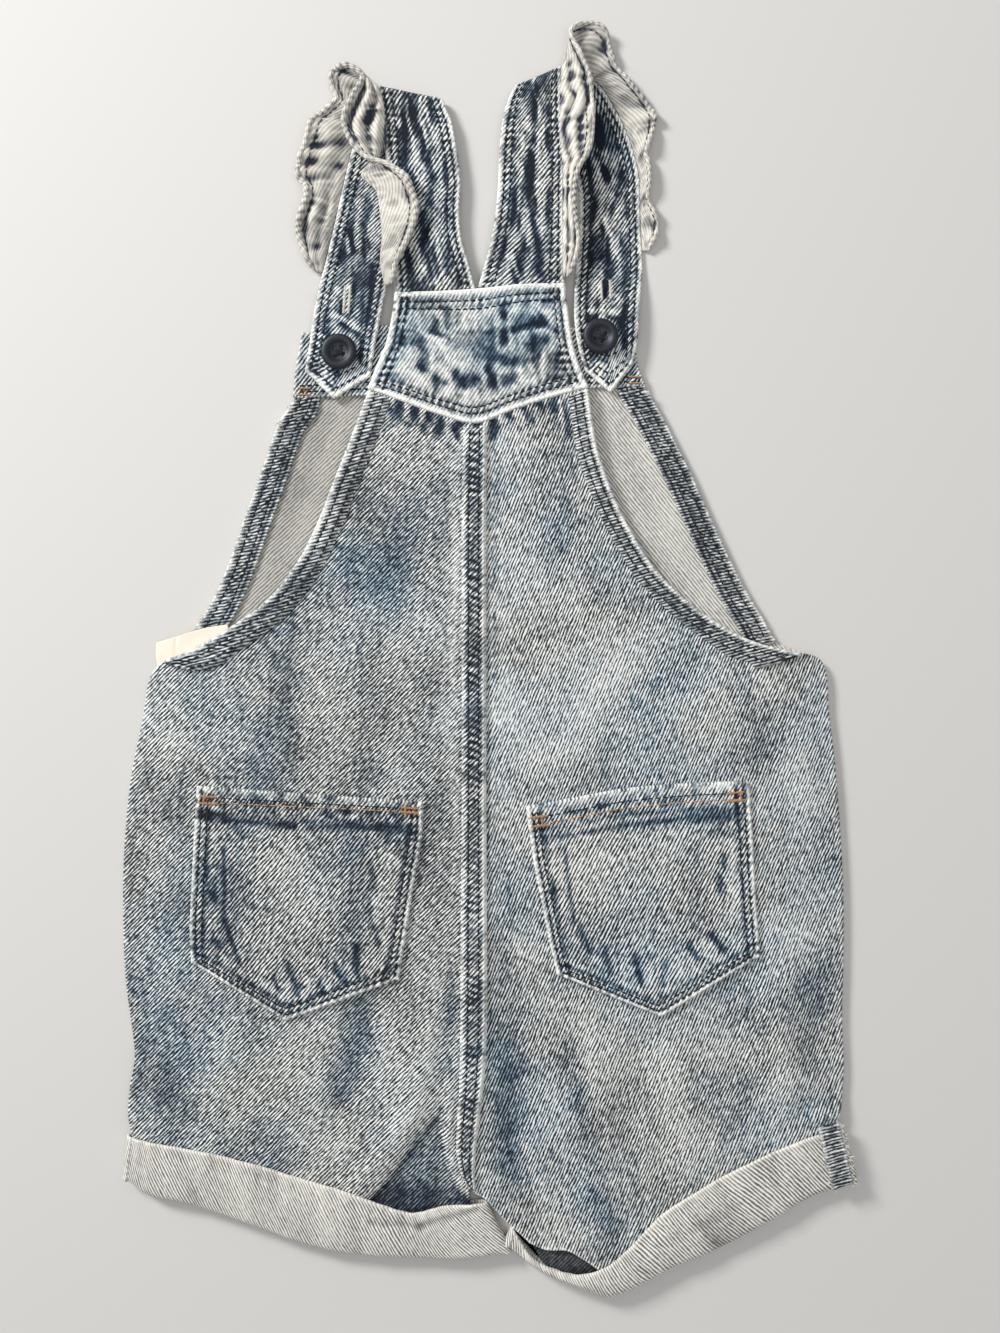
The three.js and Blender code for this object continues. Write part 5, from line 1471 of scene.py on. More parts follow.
# x1, y1, x2, y2, width, depth: each pocket's dyed hollows and rubbed ridges, and a painted
# shadow line under its hem.
POCKET_MARKS = {
    "left": [
        (-111, -59.6, -101, -61.4, 1.6, -0.95), (-101, -61.6, -82, -63.4, 1.0, -0.7),
        (-80, -63.4, -75, -64, 1.5, -0.85), (-70, -64, -42, -64.6, 1.2, -0.5),
        (-42, -64.4, -30, -66.6, 2.0, -0.8), (-39.8, -68, -39.4, -70, 1.6, -0.6),
        (-35, -70, -34.8, -73, 1.3, -0.7), (-97, -64, -94.6, -68.4, 1.5, -0.5),
        (-101.6, -70, -101.6, -100, 0.9, -0.6), (-101.4, -100, -95.8, -116, 1.0, -0.75),
        (-106, -89, -105.6, -91.4, 1.8, -0.8), (-106, -107.2, -103.4, -109.4, 1.3, -0.9),
        (-104.4, -113, -103.6, -115.4, 1.0, -0.6), (-40, -76, -43, -99, 2.2, 0.5),
        (-106.4, -96, -105.4, -103, 1.3, 0.5), (-46, -78, -44.4, -88, 1.4, -0.4),
        (-47, -96, -44, -104, 1.3, -0.5), (-51.6, -109.6, -51.4, -119.4, 1.5, -0.9),
        (-43.4, -106, -43, -109, 1.2, -0.5), (-82.8, -120.6, -81, -126, 1.0, -0.75),
        (-77.6, -117, -73.6, -127.4, 1.4, -0.7), (-65.6, -123.4, -64, -127, 1.2, -0.75),
        (-59.8, -118, -55.8, -123, 1.3, -0.8), (-80.4, -122.6, -76.8, -130, 1.4, 0.7),
        (-69, -123.6, -71.4, -128.4, 1.5, 0.7), (-61.4, -120.6, -62.6, -125, 1.2, 0.6),
        (-87, -117, -84.4, -123.4, 1.2, 0.4), (-78, -80, -62, -106, 8, 0.16),
        (-52, -74, -52, -100, 5, -0.25), (-47, -113, -45.6, -119, 2.2, 0.5)],
    "right": [
        (18, -68.4, 30, -67.4, 1.2, -0.7), (34, -66.6, 52, -63.6, 1.1, -0.5),
        (54, -63.4, 72, -61.4, 1.2, -0.6), (76, -60.6, 92, -59.6, 2.8, -0.85),
        (84, -66, 92, -66, 1.8, -0.5), (27.4, -72, 30.8, -100, 0.9, -0.65),
        (23.6, -86, 24.4, -90, 1.5, -0.6), (88, -75, 87.8, -79, 1.6, -0.75),
        (86, -83, 86.4, -88, 1.6, -0.7), (90, -71, 91.6, -98, 2.0, 0.5),
        (33, -102, 37, -112, 1.1, -0.6), (42.6, -111, 44.6, -119.6, 1.1, -0.7),
        (54.4, -113, 56.2, -123, 1.3, -0.7), (66, -116, 64.6, -124, 1.2, -0.6),
        (74.4, -108.6, 78, -114.6, 1.2, -0.75), (82.8, -105, 88, -111.4, 1.5, -0.85),
        (49, -114, 50.4, -121.6, 1.2, 0.5), (60, -117, 60.6, -126, 1.5, 0.6),
        (70, -113, 71, -120, 1.3, 0.6), (79.6, -108, 82.6, -114, 1.2, 0.6),
        (90, -105, 92.6, -110, 1.3, 0.5), (44, -76, 66, -100, 8, 0.14),
        (76, -70, 78, -98, 5, -0.2)]}

# %% The two pockets
POCKET_ROWS = (1.7, 4.1)
POCKET_WIDTH = 82


def pocket(side, sides, tip, drop, seed):
    name = f"pocket_{side}"
    place = pointed(sides, tip, drop)
    cloth = Cloth(place, spread(POCKET_WIDTH, 0.9, 0.4, 6), spread(80, 0.9, 0.4, 6))
    foot = np.where(cloth.us < tip, tip, 1 - tip) * POCKET_WIDTH
    slope = foot / np.hypot(foot, drop)
    from_foot = cloth.from_hem * slope[None, :]
    edges = [(cloth.from_outer, cloth.along), (cloth.from_inner, cloth.along),
             (from_foot, cloth.across)]
    for k, (distance, s) in enumerate(edges):
        reach = np.maximum(distance - 3.4, 0)
        cloth.shape(ramp(12, 3, distance) * puckers(s, reach, 3.1, 0.16, 2.0, seed + k), 2.6)
        worn = 0.5 + 0.5 * noise_1d(s, 9, seed + 20 + k)
        cloth.relief += 0.4 * worn * bell(distance - 6.7, 1.1)
        cloth.sink_rows(distance, POCKET_ROWS)
        # A darker band just inside the inner row: painted shade.
        cloth.relief -= 0.4 * bell(distance - 5.0, 0.8)
        cloth.rub_ladder(distance - 2.9, s, 0.7, 2.7, seed + 30 + k)
        cloth.roll(distance, 1.0, 0.25, 1.0, 0.15, seed + k)
    hem = ramp(8.6, 7.4, cloth.from_top)
    cloth.lift += 0.45 * hem
    ticks = puckers(cloth.across, 0 * hem, 1.9, 0.16, 1, seed + 5)
    cloth.shape(ticks * hem * ramp(2.2, 3.6, cloth.from_top), 2.6)
    cloth.relief -= 0.25 * bell(cloth.from_top - 4.6, 1.1)
    # A dark line just under the hem: painted shadow of the hem's edge.
    hem_shadow = 0.6 + 0.4 * noise_1d(cloth.across, 5, seed + 9)
    cloth.relief -= 0.45 * hem_shadow * bell(cloth.from_top - 9.4, 0.8)
    cloth.roll(cloth.from_top, 2.2, 0.2, 0.75, 0.6, seed + 6)
    cloth.relief += 0.65 * hem * noise_2d(cloth.x * 0.8, cloth.y * 0.6, 1.6, seed + 8)
    marks = np.clip(fold_lift(cloth.x, cloth.y, POCKET_MARKS[side]), -0.7, 1)
    cloth.relief += marks
    cloth.lift += 0.2 * marks
    cloth.shape(0.12 * noise_2d(cloth.x, cloth.y, 14, seed + 7), 1.0)
    piece = cloth.finish(name, on_back, CLOTH + 0.2, [POCKET_DENIM[side], INSIDE_DENIM[side]],
                         follow=False)
    dress(piece, name, "denim", (88, 96), area=7600, rests_on=["back_left", "back_right"])
    along = np.linspace(0.02, 0.985, 500)
    width, height = cloth.across[:, -1].mean(), cloth.along[-1].mean()
    for row in POCKET_ROWS:
        navy_thread.row(cloth.line(row / width, along), seed=seed)
        navy_thread.row(cloth.line(1 - row / width, along), seed=seed + 1)
        across = np.linspace(row / width, 1 - row / width, 500)
        navy_thread.row(cloth.line(across, 1 - row / height / slope.mean()), seed=seed + 2)
    for thread, row in ((navy_thread, 4.0), (tan_thread, 6.4)):
        line = cloth.line(np.linspace(0.03, 0.97, 400), row / height)
        thread.row(line, radius=0.26, seed=seed + 3)
    lean = math.atan2(*(cloth.top[0, -1] - cloth.top[0, 0])[[1, 0]])
    for u in (0.05, 0.95):
        for row in (3.7, 6.9):
            middle = cloth.at(u, row / height, cloth.top)
            tan_thread.bartack(middle + [0, 0, 0.3], lean, 6.4, 1.1)
        middle = cloth.at(abs(u - 0.02), 5.3 / height, cloth.top)
        tan_thread.bartack(middle + [0, 0, 0.3], lean + math.pi / 2, 3.2, 0.9)


pocket("left", pocket_left_sides, 0.45, 18.9, 121)
pocket("right", pocket_right_sides, 0.49, 19.4, 141)

# %% [markdown]
# Rolled cuffs
#
# The leg's end is turned up once, so the pale wrong side shows as a band. The band is a tube,
# flattened round the leg: across the back, round the edge and under the front. Its lower edge is
# a soft fold, and its upper edge stands off the leg.

# %% The two cuffs
CUFF_TURN = 14
CUFF_BAND = 20
SIDE_TURNS = 20

# x1, y1, x2, y2, width, height: soft creases of the turned-up bands, painted as shade in their
# troughs and highlight on their ridges as well.
CUFF_FOLDS = [
    (-46, -214, -27, -215.6, 1.6, -0.45), (-27, -215.6, -6, -209.6, 1.6, -0.5),
    (-27, -212.8, -8, -208, 1.4, 0.4), (-118, -188, -112, -206, 2.6, -0.35),
    (-96, -192, -92, -212, 3.0, 0.35), (-84, -196, -78, -216, 2.4, -0.35),
    (-66, -202, -60, -220, 3.0, 0.3), (-52, -208, -50, -226, 2.2, -0.3),
    (-14, -212, -12, -226, 2.0, 0.3), (-132, -186, -130, -200, 2.4, 0.3),
    (26, -235, 34, -238, 1.6, 0.4), (50, -228, 60, -234, 2.4, -0.4), (62, -216, 72, -228, 2.8, 0.4),
    (74, -208, 84, -222, 2.4, -0.4), (92, -198, 100, -214, 2.8, 0.4),
    (104, -192, 112, -208, 2.2, -0.4), (116, -186, 124, -200, 2.4, 0.35),
    (66, -222, 96, -206, 2.2, -0.25)]


def cuff(name, edge, fold, seed):
    edge_route, fold_route = route(edge), route(fold)
    radius = CUFF_HEIGHT / 2
    across, quarter = np.linspace(0, 1, 170), np.linspace(0, 1, CUFF_TURN + 2)[1:-1]
    turn = np.pi * (0.5 - quarter)
    s = np.concatenate([across, np.ones(CUFF_TURN), across[::-3], np.zeros(CUFF_TURN)])
    under = len(across[::-3])
    out = np.concatenate([0 * across, np.cos(turn), np.zeros(under), np.cos(turn)])
    up = np.concatenate([0 * across + 1, np.sin(turn), -np.ones(under), -np.sin(turn)])
    back = np.concatenate([0 * across + 1, 0 * turn, np.zeros(under), 0 * turn])
    v = spread(CUFF_BAND, 0.7, 0.35, 3)[:, None]

    def beyond(line):
        return np.where(s > 0.5, 1, -1)[:, None] * (line(np.clip(s + 0.01, 0, 1))
                                                    - line(np.clip(s - 0.01, 0, 1)))

    def walls(thickness_in):
        r = radius - thickness_in
        ends = []
        for line in (fold_route, edge_route):
            away = beyond(line)
            away /= np.linalg.norm(away, axis=1, keepdims=True)
            ends.append(line(s) + away * (out * r)[:, None])
        plan = ends[0][None] * (1 - v[..., None]) + ends[1][None] * v[..., None]
        height = radius + up * r + back * CUFF_BULGE * np.sin(np.pi * v) * np.sin(np.pi * s)
        return np.dstack([plan, height])

    outer, inner = walls(0), walls(CLOTH)
    width = np.linalg.norm(outer[-1, :, :2] - outer[0, :, :2], axis=1)[None]
    from_fold, from_edge = v * width, (1 - v) * width
    length = passed_along(outer[0])[None]
    folds = 0.42 * noise_2d(length + 0 * v, 0.35 * from_fold, 9, seed)
    folds = folds + puckers(length, from_edge, 7, 0.3, 6, seed + 1)
    folds = (folds + fold_lift(outer[..., 0], outer[..., 1], CUFF_FOLDS)) * back
    rounding = 1.7 * (1 - np.sqrt(1 - np.clip(1 - from_fold / 2.6, 0, 1) ** 2)) * back
    bead = 0.3 * bell(from_edge, 1.1) * back
    outer[..., 2] += folds - rounding + bead
    inner[..., 2] += folds - rounding
    wear = 0.55 * bell(from_edge, 1.2) + 0.4 * bell(from_fold, 1.4)
    plan = np.dstack([length + 0 * v, from_fold])
    # The folds' heights darken and lighten the pale band: painted shade and painted highlight.
    piece = shell_mesh(name, outer, inner, plan, wear, folds * 1.4,
                       [CUFF_DENIM, CUFF_DENIM], wrap=True)
    round_leg = 2 * length[0, len(across) - 1] + SIDE_TURNS
    dress(piece, name, "cuff_denim", (round_leg, CUFF_BAND))


cuff("cuff_left", CUFF_LEFT_EDGE, CUFF_LEFT_FOLD, 151)
cuff("cuff_right", CUFF_RIGHT_EDGE, CUFF_RIGHT_FOLD, 161)

# %% The frayed allowance on the right cuff
allowance_place = panel(outer=[(123.6, -178.2), (126.4, -190), (129.4, -201)],
                        inner=[(130.4, -175.6), (133.2, -187), (136, -198.6)])


def allowance():
    cloth = Cloth(allowance_place, spread(7, 0.4, 0.3, 1), spread(23, 0.4, 0.3, 1))
    cloth.shape(puckers(cloth.along, 0 * cloth.across, 2.4, 0.25, 1, 171, 0.6), 1.5)
    for distance, seed in ((cloth.from_outer, 172), (cloth.from_inner, 173)):
        cloth.roll(distance, 0.9, 0.3, 0.9, 0.5, seed)
    under = lambda x, y: CUFF_HEIGHT + 0.35 + 0 * x
    piece = cloth.finish("cuff_side_seam_right", under, TRIM, [HEM_DENIM, HEM_DENIM],
                         follow=False)
    dress(piece, "cuff_side_seam_right", "ruffle_cloth", (14, 24), area=7 * 24,
          rests_on=["cuff_right"])


allowance()

# %% [markdown]
# Straps
#
# Each strap leaves the yoke, goes over the shoulder line in a tight fold and comes back down to
# the bib's button. It is a flat tube of denim, sewn twice down each side, so its middle swells
# and its edges rope. Its middle surface is a curve in space and the cloth is built on both
# sides of it.

# %% Where the straps run and crease
STRAP_WIDTH = 25.5
STRAP_OVER_BIB = 3.6
# outer x, outer y, inner x, inner y, height of the middle surface
STRAP_LEFT = [
    (-36.2, 138.8, -7, 140.2, 3.6), (-36.8, 147.5, -9, 148, 3.6), (-38, 158.5, -12, 158.5, 3.6),
    (-39, 170, -13, 169.5, 3.6), (-39.5, 181.5, -12.5, 181.5, 3.6), (-40.5, 193, -14, 193, 3.6),
    (-41.5, 204, -16, 204, 3.6), (-42.6, 212, -17.8, 208, 3.6), (-43.4, 216.6, -19, 211.6, 3.3),
    (-43.9, 217.6, -19.6, 212.6, 2.1), (-44.2, 216.4, -20.2, 211.4, 0.9),
    (-45.6, 211, -21.4, 206.6, 0.6), (-52.5, 196.5, -27.5, 196.5, 0.6),
    (-56.5, 181.5, -31.5, 181.5, 0.6), (-60, 166, -35.5, 165.5, 0.6),
    (-63.5, 151, -39.5, 150.5, 0.8), (-66, 139.5, -41, 139.5, 2.6),
    (-67.6, 130, -42.8, 130, STRAP_OVER_BIB), (-69.3, 118.5, -45.2, 117.5, STRAP_OVER_BIB),
    (-70.8, 109, -46.9, 107, STRAP_OVER_BIB)]
STRAP_RIGHT = [
    (27, 142.3, -5, 141, 3.6), (27, 150, -3, 147.6, 3.6), (27, 158.5, -0.5, 157, 3.6),
    (27, 168, 1.5, 168, 3.6), (27, 179.5, 2.5, 179.5, 3.6), (27, 191, 3, 191, 3.6),
    (26.2, 202.5, 4, 202.5, 3.6), (25.8, 215, 6, 211, 3.6), (25.9, 223.4, 8.6, 216.4, 3.3),
    (26.6, 225.2, 9.6, 217.8, 2.1), (28.4, 224.2, 11, 216.6, 0.9), (32.2, 222, 13.4, 213.4, 0.6),
    (40, 219, 19.5, 207.5, 0.6), (46, 210.5, 25.5, 200.5, 0.6), (51.5, 199.5, 30, 191, 0.6),
    (55.6, 185, 33.2, 179.5, 0.6), (56, 172, 33.6, 170, 0.6), (56.5, 160.5, 33.2, 160.5, 0.6),
    (57, 149, 32.4, 149, 0.9), (56, 138, 31.6, 137, 2.9), (55.4, 129, 31.6, 128, STRAP_OVER_BIB),
    (54.6, 119, 33.2, 117, STRAP_OVER_BIB), (52.8, 112, 35.8, 109, STRAP_OVER_BIB)]
# How far the strap's end is pointed, and how much longer its slanting edges make a distance.
STRAP_POINT, POINT_SLOPE = 9.5, 1.25


def strap_place(rows):
    """A strap's middle surface in space, with its end drawn out to a point."""
    outer = route([(ox, oy, z) for ox, oy, ix, iy, z in rows])
    inner = route([(ix, iy, z) for ox, oy, ix, iy, z in rows])
    end = outer(1.0) + inner(1.0) - outer(0.98) - inner(0.98)
    end /= np.linalg.norm(end)

    def place(u, v):
        u, v = paired(u, v)
        flat = outer(v) * (1 - u[..., None]) + inner(v) * u[..., None]
        past = STRAP_POINT * (1 - np.abs(2 * u - 1)) * ramp(0.9, 1, v)
        return flat + end * past[..., None]

    return place


# x1, y1, x2, y2, width, depth: the straps' dark creases and rubbed ridges, on both runs; the
# creases are dye and painted shade, and the deepest dark mark is a buttonhole's slot, painted
# shade.
STRAP_MARKS = {
    "strap_left": [
        (-32.9, 216, -29.8, 208, 1.2, -0.9), (-29.8, 208, -27.2, 200, 1.4, -0.9),
        (-27.2, 200, -24.6, 191, 1.7, -0.85), (-24.6, 191, -23, 182, 1.9, -0.9),
        (-23, 182, -22.8, 171, 1.6, -0.9), (-26.4, 168, -25.6, 158, 1.6, -0.85),
        (-25, 156, -22, 146.6, 2.4, -0.9), (-17, 148.4, -16.8, 145.6, 1.6, -0.75),
        (-33.8, 206, -32.6, 184, 1.1, -0.6), (-31, 184, -28, 176, 1.8, -0.5),
        (-31.4, 152, -30, 146, 1.4, -0.6), (-31.4, 214, -26.6, 200, 0.9, 0.6),
        (-26.6, 200, -21.4, 186, 0.9, 0.5), (-29.6, 196, -26.4, 180, 1.0, 0.5),
        (-24.4, 170, -25.4, 163, 0.9, 0.7), (-21, 164, -17, 150, 2.0, 0.35),
        (-28.4, 156, -26, 146, 1.0, 0.5), (-47.4, 177, -49.4, 165, 1.7, -0.9),
        (-49.4, 165, -48, 157, 1.5, -0.85), (-51.6, 172, -54, 162, 1.2, -0.6),
        (-54, 162, -52.4, 154, 1.2, -0.6), (-58, 154, -57, 151, 2.0, -0.85),
        (-49.6, 154, -49.4, 150.6, 2.0, -0.8), (-53.4, 150, -53, 146, 1.2, -0.5),
        (-46, 150, -46.6, 128, 1.0, -0.6), (-51.4, 168, -51.6, 158, 1.0, 0.6),
        (-45.4, 176, -46, 160, 1.2, 0.5), (-56.4, 160, -55.4, 156, 1.0, 0.5),
        (-55, 141.4, -55.6, 131, 0.9, 1.3), (-57.2, 141, -57.6, 130.4, 0.7, -0.9),
        (-52.8, 141, -53.2, 131, 0.7, -0.9), (-60.6, 130.6, -51.4, 125, 0.9, 1.0),
        (-57.4, 126.6, -53, 123.6, 1.2, -0.9), (-54.4, 124, -51, 117.6, 0.9, 0.7),
        (-62, 128, -61.4, 118, 1.0, -0.6), (-50, 122, -49.6, 112, 1.1, -0.6),
        (-64, 111, -58, 107, 1.0, -0.9)],
    "strap_right": [
        (16, 217, 16.5, 206, 1.2, -0.95), (16.5, 206, 15.8, 196, 1.3, -0.9),
        (15.8, 196, 14.2, 185, 1.5, -0.95), (14.2, 185, 15.2, 178, 1.6, -0.9),
        (15.2, 178, 17.8, 167.6, 1.2, -0.8), (13.4, 176.6, 15, 168, 1.1, -0.7),
        (15, 168, 18.8, 150.6, 1.3, -0.85), (11.2, 151, 11.2, 147.6, 2.2, -0.95),
        (12, 159, 12.4, 155, 1.6, -0.8), (16.2, 148.4, 16.6, 145.6, 1.8, -0.85),
        (21.8, 208, 22, 205.4, 1.8, -0.8), (22.4, 198, 22.6, 195.6, 1.5, -0.6),
        (8.6, 178, 10, 164, 1.0, -0.5), (18, 214, 17.8, 196, 0.9, 0.7),
        (17.8, 196, 16.6, 184, 0.9, 0.6), (13, 212, 12.6, 194, 1.2, 0.4),
        (17, 176, 20, 160, 1.0, 0.5), (13.6, 164, 15.4, 152, 1.0, 0.5),
        (6.6, 152, 9, 146, 1.2, 0.4), (20.4, 188, 20.6, 180, 1.6, 0.4),
        (37, 190, 37.4, 172, 1.3, -0.8), (37.4, 172, 37, 152, 1.0, -0.5),
        (40.8, 206, 41, 198, 1.6, -0.9), (41, 196, 40.6, 192, 1.6, -0.9),
        (43, 186, 43.4, 183.6, 2.0, -0.9), (43, 172.6, 43.4, 170, 2.0, -0.85),
        (46, 195, 50, 194, 1.5, -0.7), (49.2, 185, 49.4, 182.6, 1.6, -0.6),
        (41.6, 165, 44, 160.4, 1.1, -0.85), (44, 160.4, 42.4, 153, 1.3, -0.8),
        (42.4, 153, 43.2, 146.4, 1.4, -0.85), (48.6, 166, 49.4, 158, 1.2, -0.5),
        (40.2, 191, 41.6, 179, 0.9, 0.8), (41.6, 179, 42.6, 168, 0.9, 0.7),
        (42.6, 168, 46.4, 157, 0.9, 0.8), (46.4, 157, 49.4, 150.4, 0.9, 0.6),
        (46, 190, 46.4, 187, 1.8, 0.5), (45.6, 180, 46, 176, 1.8, 0.45),
        (43.2, 142.6, 42.9, 137.4, 1.1, -2.6), (40.6, 142.4, 40.9, 137, 0.7, 0.9),
        (45.6, 142.4, 45.3, 137, 0.7, 0.8), (36.6, 131.4, 47, 131.2, 0.9, 1.1),
        (36, 128.6, 40, 129.2, 1.2, -0.8), (44, 129.2, 48.4, 128, 1.2, -0.8),
        (35.4, 140, 35.8, 128, 1.0, -0.5), (50, 142, 50, 126, 1.1, -0.5),
        (36, 115, 42, 112.6, 1.0, -0.9)]}

# %% The two straps
# Distances of the rows of stitches from the strap's sides and from its pointed end.
STRAP_ROWS = (1.9, 4.4)
END_ROWS = (2.2, 4.8, 8.2)


def strap(name, rows, faces, seed):
    place = strap_place(rows)
    cloth = BentCloth(place, spread(STRAP_WIDTH, 0.6, 0.4, 2), even(place, 0.65, 0.45))
    width = cloth.across[:, -1:]
    left, right = cloth.across, width - cloth.across
    side = np.minimum(left, right)
    from_point = cloth.from_hem / POINT_SLOPE
    marks = fold_lift(cloth.x, cloth.y, STRAP_MARKS[name])
    # Where the marks are deepest, a buttonhole's slot is painted darker still, as shade.
    slit = ramp(-1.1, -2.2, marks)
    marks = (np.clip(marks, -0.75, 1) - 0.6 * slit) * ramp(1.5, 4, side)
    cloth.lift += 0.14 * marks
    cloth.relief += marks
    wobble = 2.2 * noise_1d(cloth.along, 11, seed + 8)
    folds = crumple((cloth.across + wobble) / 2.3, cloth.along / 12, 1.15, seed)
    cloth.shape(ramp(2.5, 7, side) * 0.1 * folds, 5.0)
    cloth.relief += 0.3 * noise_2d(cloth.across / 1.2, cloth.along / 2.4, 1.8, seed + 30)
    for k, distance in enumerate((left, right)):
        near = ramp(6, 4.5, distance) * ramp(0.8, 1.9, distance)
        cloth.shape(near * puckers(cloth.along, 0 * side, 2.6, 0.14, 1, seed + 2 + k, 0.4), 3.2)
        cloth.sink_rows(distance, STRAP_ROWS, 0.16)
        # A darker band just inside the inner row: painted shade.
        cloth.relief -= 0.34 * bell(distance - 5.4, 0.9)
        cloth.rub_ladder(distance - 3.15, cloth.along, 0.75, 2.4, seed + 20 + k, 0.2, 0.65)
        cloth.roll(distance, 1.2, 0.12, 1.0, 0.1, seed + 4 + k)
    for row in END_ROWS:
        cloth.relief -= 0.4 * bell(from_point - row, 0.6)
    cloth.relief += 0.5 * ramp(12, 8, cloth.from_hem) * ramp(3, 5, side)
    cloth.roll(from_point, 1.6, 0.15, 1.0, 0.1, seed + 6)
    cloth.lift = np.clip(cloth.lift, -0.3, 0.3)
    cloth.finish_bent(name, TRIM, faces)
    length = cloth.along[-1].mean()
    dress(cloth.object, name, "denim", (STRAP_WIDTH, length), rests_on=["back_yoke"])
    for row in STRAP_ROWS:
        for u in (row / STRAP_WIDTH, 1 - row / STRAP_WIDTH):
            for below, stop in ((False, 0.6), (True, 1 - POINT_SLOPE * row / length)):
                line = cloth.line(u, np.linspace(0.4 if below else 0.004, stop, 900), below)
                navy_thread.row(line, seed=seed + int(row))
    for row in END_ROWS:
        across = np.linspace(row / STRAP_WIDTH, 1 - row / STRAP_WIDTH, 200)
        line = cloth.line(across, 1 - POINT_SLOPE * row / length, True)
        navy_thread.row(line, seed=seed + 9)


strap("strap_left", STRAP_LEFT, [STRAP_DENIM, STRAP_DENIM_TURNED], 181)
strap("strap_right", STRAP_RIGHT, [STRAP_DENIM_TURNED, STRAP_DENIM], 201)

# %% [markdown]
# Ruffles
#
# A gathered strip of light denim is caught in each strap's outer edge. It follows the strap over
# the shoulder, so it shows its back run on top, a lobe at the shoulder and its front run beside
# the strap. A cloth simulation would gather it at random; here the hem's line is listed, the
# gathers are waves that grow towards the hem, and the hem is a rolled bead.

# %% Where the ruffles run
# root x, y, z at the strap; free x, y, z at the hem; height of the folds; how squashed the strip
# is against the strap, which turns its folds lengthwise; how much painted shade its hollows get
RUFFLE_LEFT = [
    (-40.6, 141, 5, -38.4, 141.6, 5.6, 0, 0, 0), (-42.4, 149.4, 5, -36, 150.6, 6.6, 0.4, 0, 0.2),
    (-41.8, 160, 5, -31.6, 158.8, 7.0, 0.5, 0, 0.2), (-42.6, 169.4, 5, -28.8, 170, 7.4, 0.6, 0, 0),
    (-44, 177, 5, -31.8, 179.2, 7.8, 0.6, 0, 0), (-49.6, 183, 5, -38.6, 185.6, 8.2, 0.6, 0, 0.1),
    (-42.6, 189.6, 5, -47.6, 188.6, 8, 0.8, 0.6, 0.8),
    (-40.4, 195, 5, -53, 194.4, 7.4, 1.0, 1, 0.9), (-40.8, 202.6, 5, -56, 202.6, 6.8, 1.2, 1, 0.9),
    (-41.6, 210.4, 5, -52.6, 211.4, 6.6, 1.2, 1, 0.6),
    (-43, 215.4, 4.8, -49, 219.4, 6.2, 1.0, 0.6, 0.3),
    (-45, 217.8, 3.6, -54.6, 224, 5.2, 0.6, 0.2, 0.4),
    (-46, 218.2, 2.2, -60, 223.4, 3.6, 0.5, 0, 0.3),
    (-46.6, 215, 1, -61.4, 218.4, 2.6, 0.5, 0, 0.1),
    (-47.1, 209.6, 0.6, -59.4, 212.4, 2.2, 0.5, 0, 0),
    (-50, 203.6, 0.6, -68, 204.6, 3.4, 0.7, 0, 0.1),
    (-52.9, 197.6, 0.6, -70.4, 197, 3.9, 0.9, 0.4, 0.6),
    (-54.8, 191, 0.6, -73, 189.6, 3.2, 1.0, 0.5, 0.7),
    (-56.5, 184.6, 0.6, -73.8, 183.4, 2.4, 1.0, 0.3, 0.4),
    (-58.6, 175.8, 0.6, -70.2, 177.4, 3.2, 1.0, 0.2, 0.3),
    (-60, 169.6, 0.6, -72, 170.2, 3.8, 1.0, 0.8, 0.4),
    (-61.4, 163.4, 0.6, -73.8, 162.4, 3.0, 1.0, 0.4, 0.7),
    (-64, 152.4, 0.7, -70.8, 152.6, 2.1, 0.9, 0.3, 0.6),
    (-65.2, 147.4, 1.2, -68, 147.6, 1.8, 0, 0, 0)]
RUFFLE_RIGHT = [
    (26.8, 144, 5, 29, 144.4, 5.6, 0, 0.5, 0.6), (26.8, 151, 5, 31.4, 151, 6.6, 0.6, 1, 0.8),
    (26.8, 158, 5, 32.4, 158, 7.2, 0.8, 1, 0.8), (26.8, 166, 5, 31.4, 166, 7.6, 0.8, 1, 0.8),
    (26.8, 175, 5, 30.8, 175, 8, 0.8, 1, 0.8), (26.8, 184, 5, 32.4, 184, 8, 0.9, 1, 0.9),
    (26.6, 191, 5, 36.6, 191.4, 8, 1.1, 1, 1.0), (26.1, 200, 5, 37.8, 200, 7.8, 1.2, 1, 1.0),
    (25.8, 209, 5, 37.6, 209.6, 7.6, 1.2, 1, 0.9), (25.8, 217.4, 5, 36.6, 219.6, 7.4, 1.1, 1, 0.7),
    (26.4, 223.4, 4.9, 32.6, 229, 7.2, 0.8, 0.5, 0.3),
    (27.4, 226.4, 3.8, 29.8, 237, 5.8, 0.6, 0.1, 0.2),
    (29.2, 227, 2.4, 37.4, 241.2, 4.2, 0.6, 0, 0.2),
    (32.4, 225, 1.1, 43.6, 237.4, 2.4, 0.6, 0, 0.2),
    (36.2, 222.2, 0.6, 45.6, 229, 1.6, 0.6, 0, 0.3),
    (40.9, 219.4, 0.6, 51, 220.6, 1.4, 0.8, 0, 0.3),
    (46.4, 211.4, 0.6, 59.8, 210.6, 1.4, 0.9, 0, 0.2),
    (51.4, 201.6, 0.6, 61.8, 204, 1.4, 0.9, 0, 0.1),
    (54.4, 192.8, 0.6, 58.8, 195, 1.8, 0.9, 0, 0.4),
    (56.3, 184.4, 0.6, 59.4, 187, 1.8, 0.9, 0, 0.4),
    (56.6, 172.6, 0.6, 59.8, 173, 1.8, 0.8, 0, 0.4),
    (57, 164.4, 0.6, 63, 165.2, 1.6, 1.0, 0.3, 0.5),
    (57.2, 158.6, 0.6, 61, 158.6, 1.5, 0.7, 0.3, 0.4),
    (57.4, 155.6, 0.6, 59.4, 155.4, 1.4, 0, 0, 0)]

# %% The two ruffles
RUFFLE_WAVES = 17
RUFFLE_STRIP = 14
ROPE_SIDES = 10


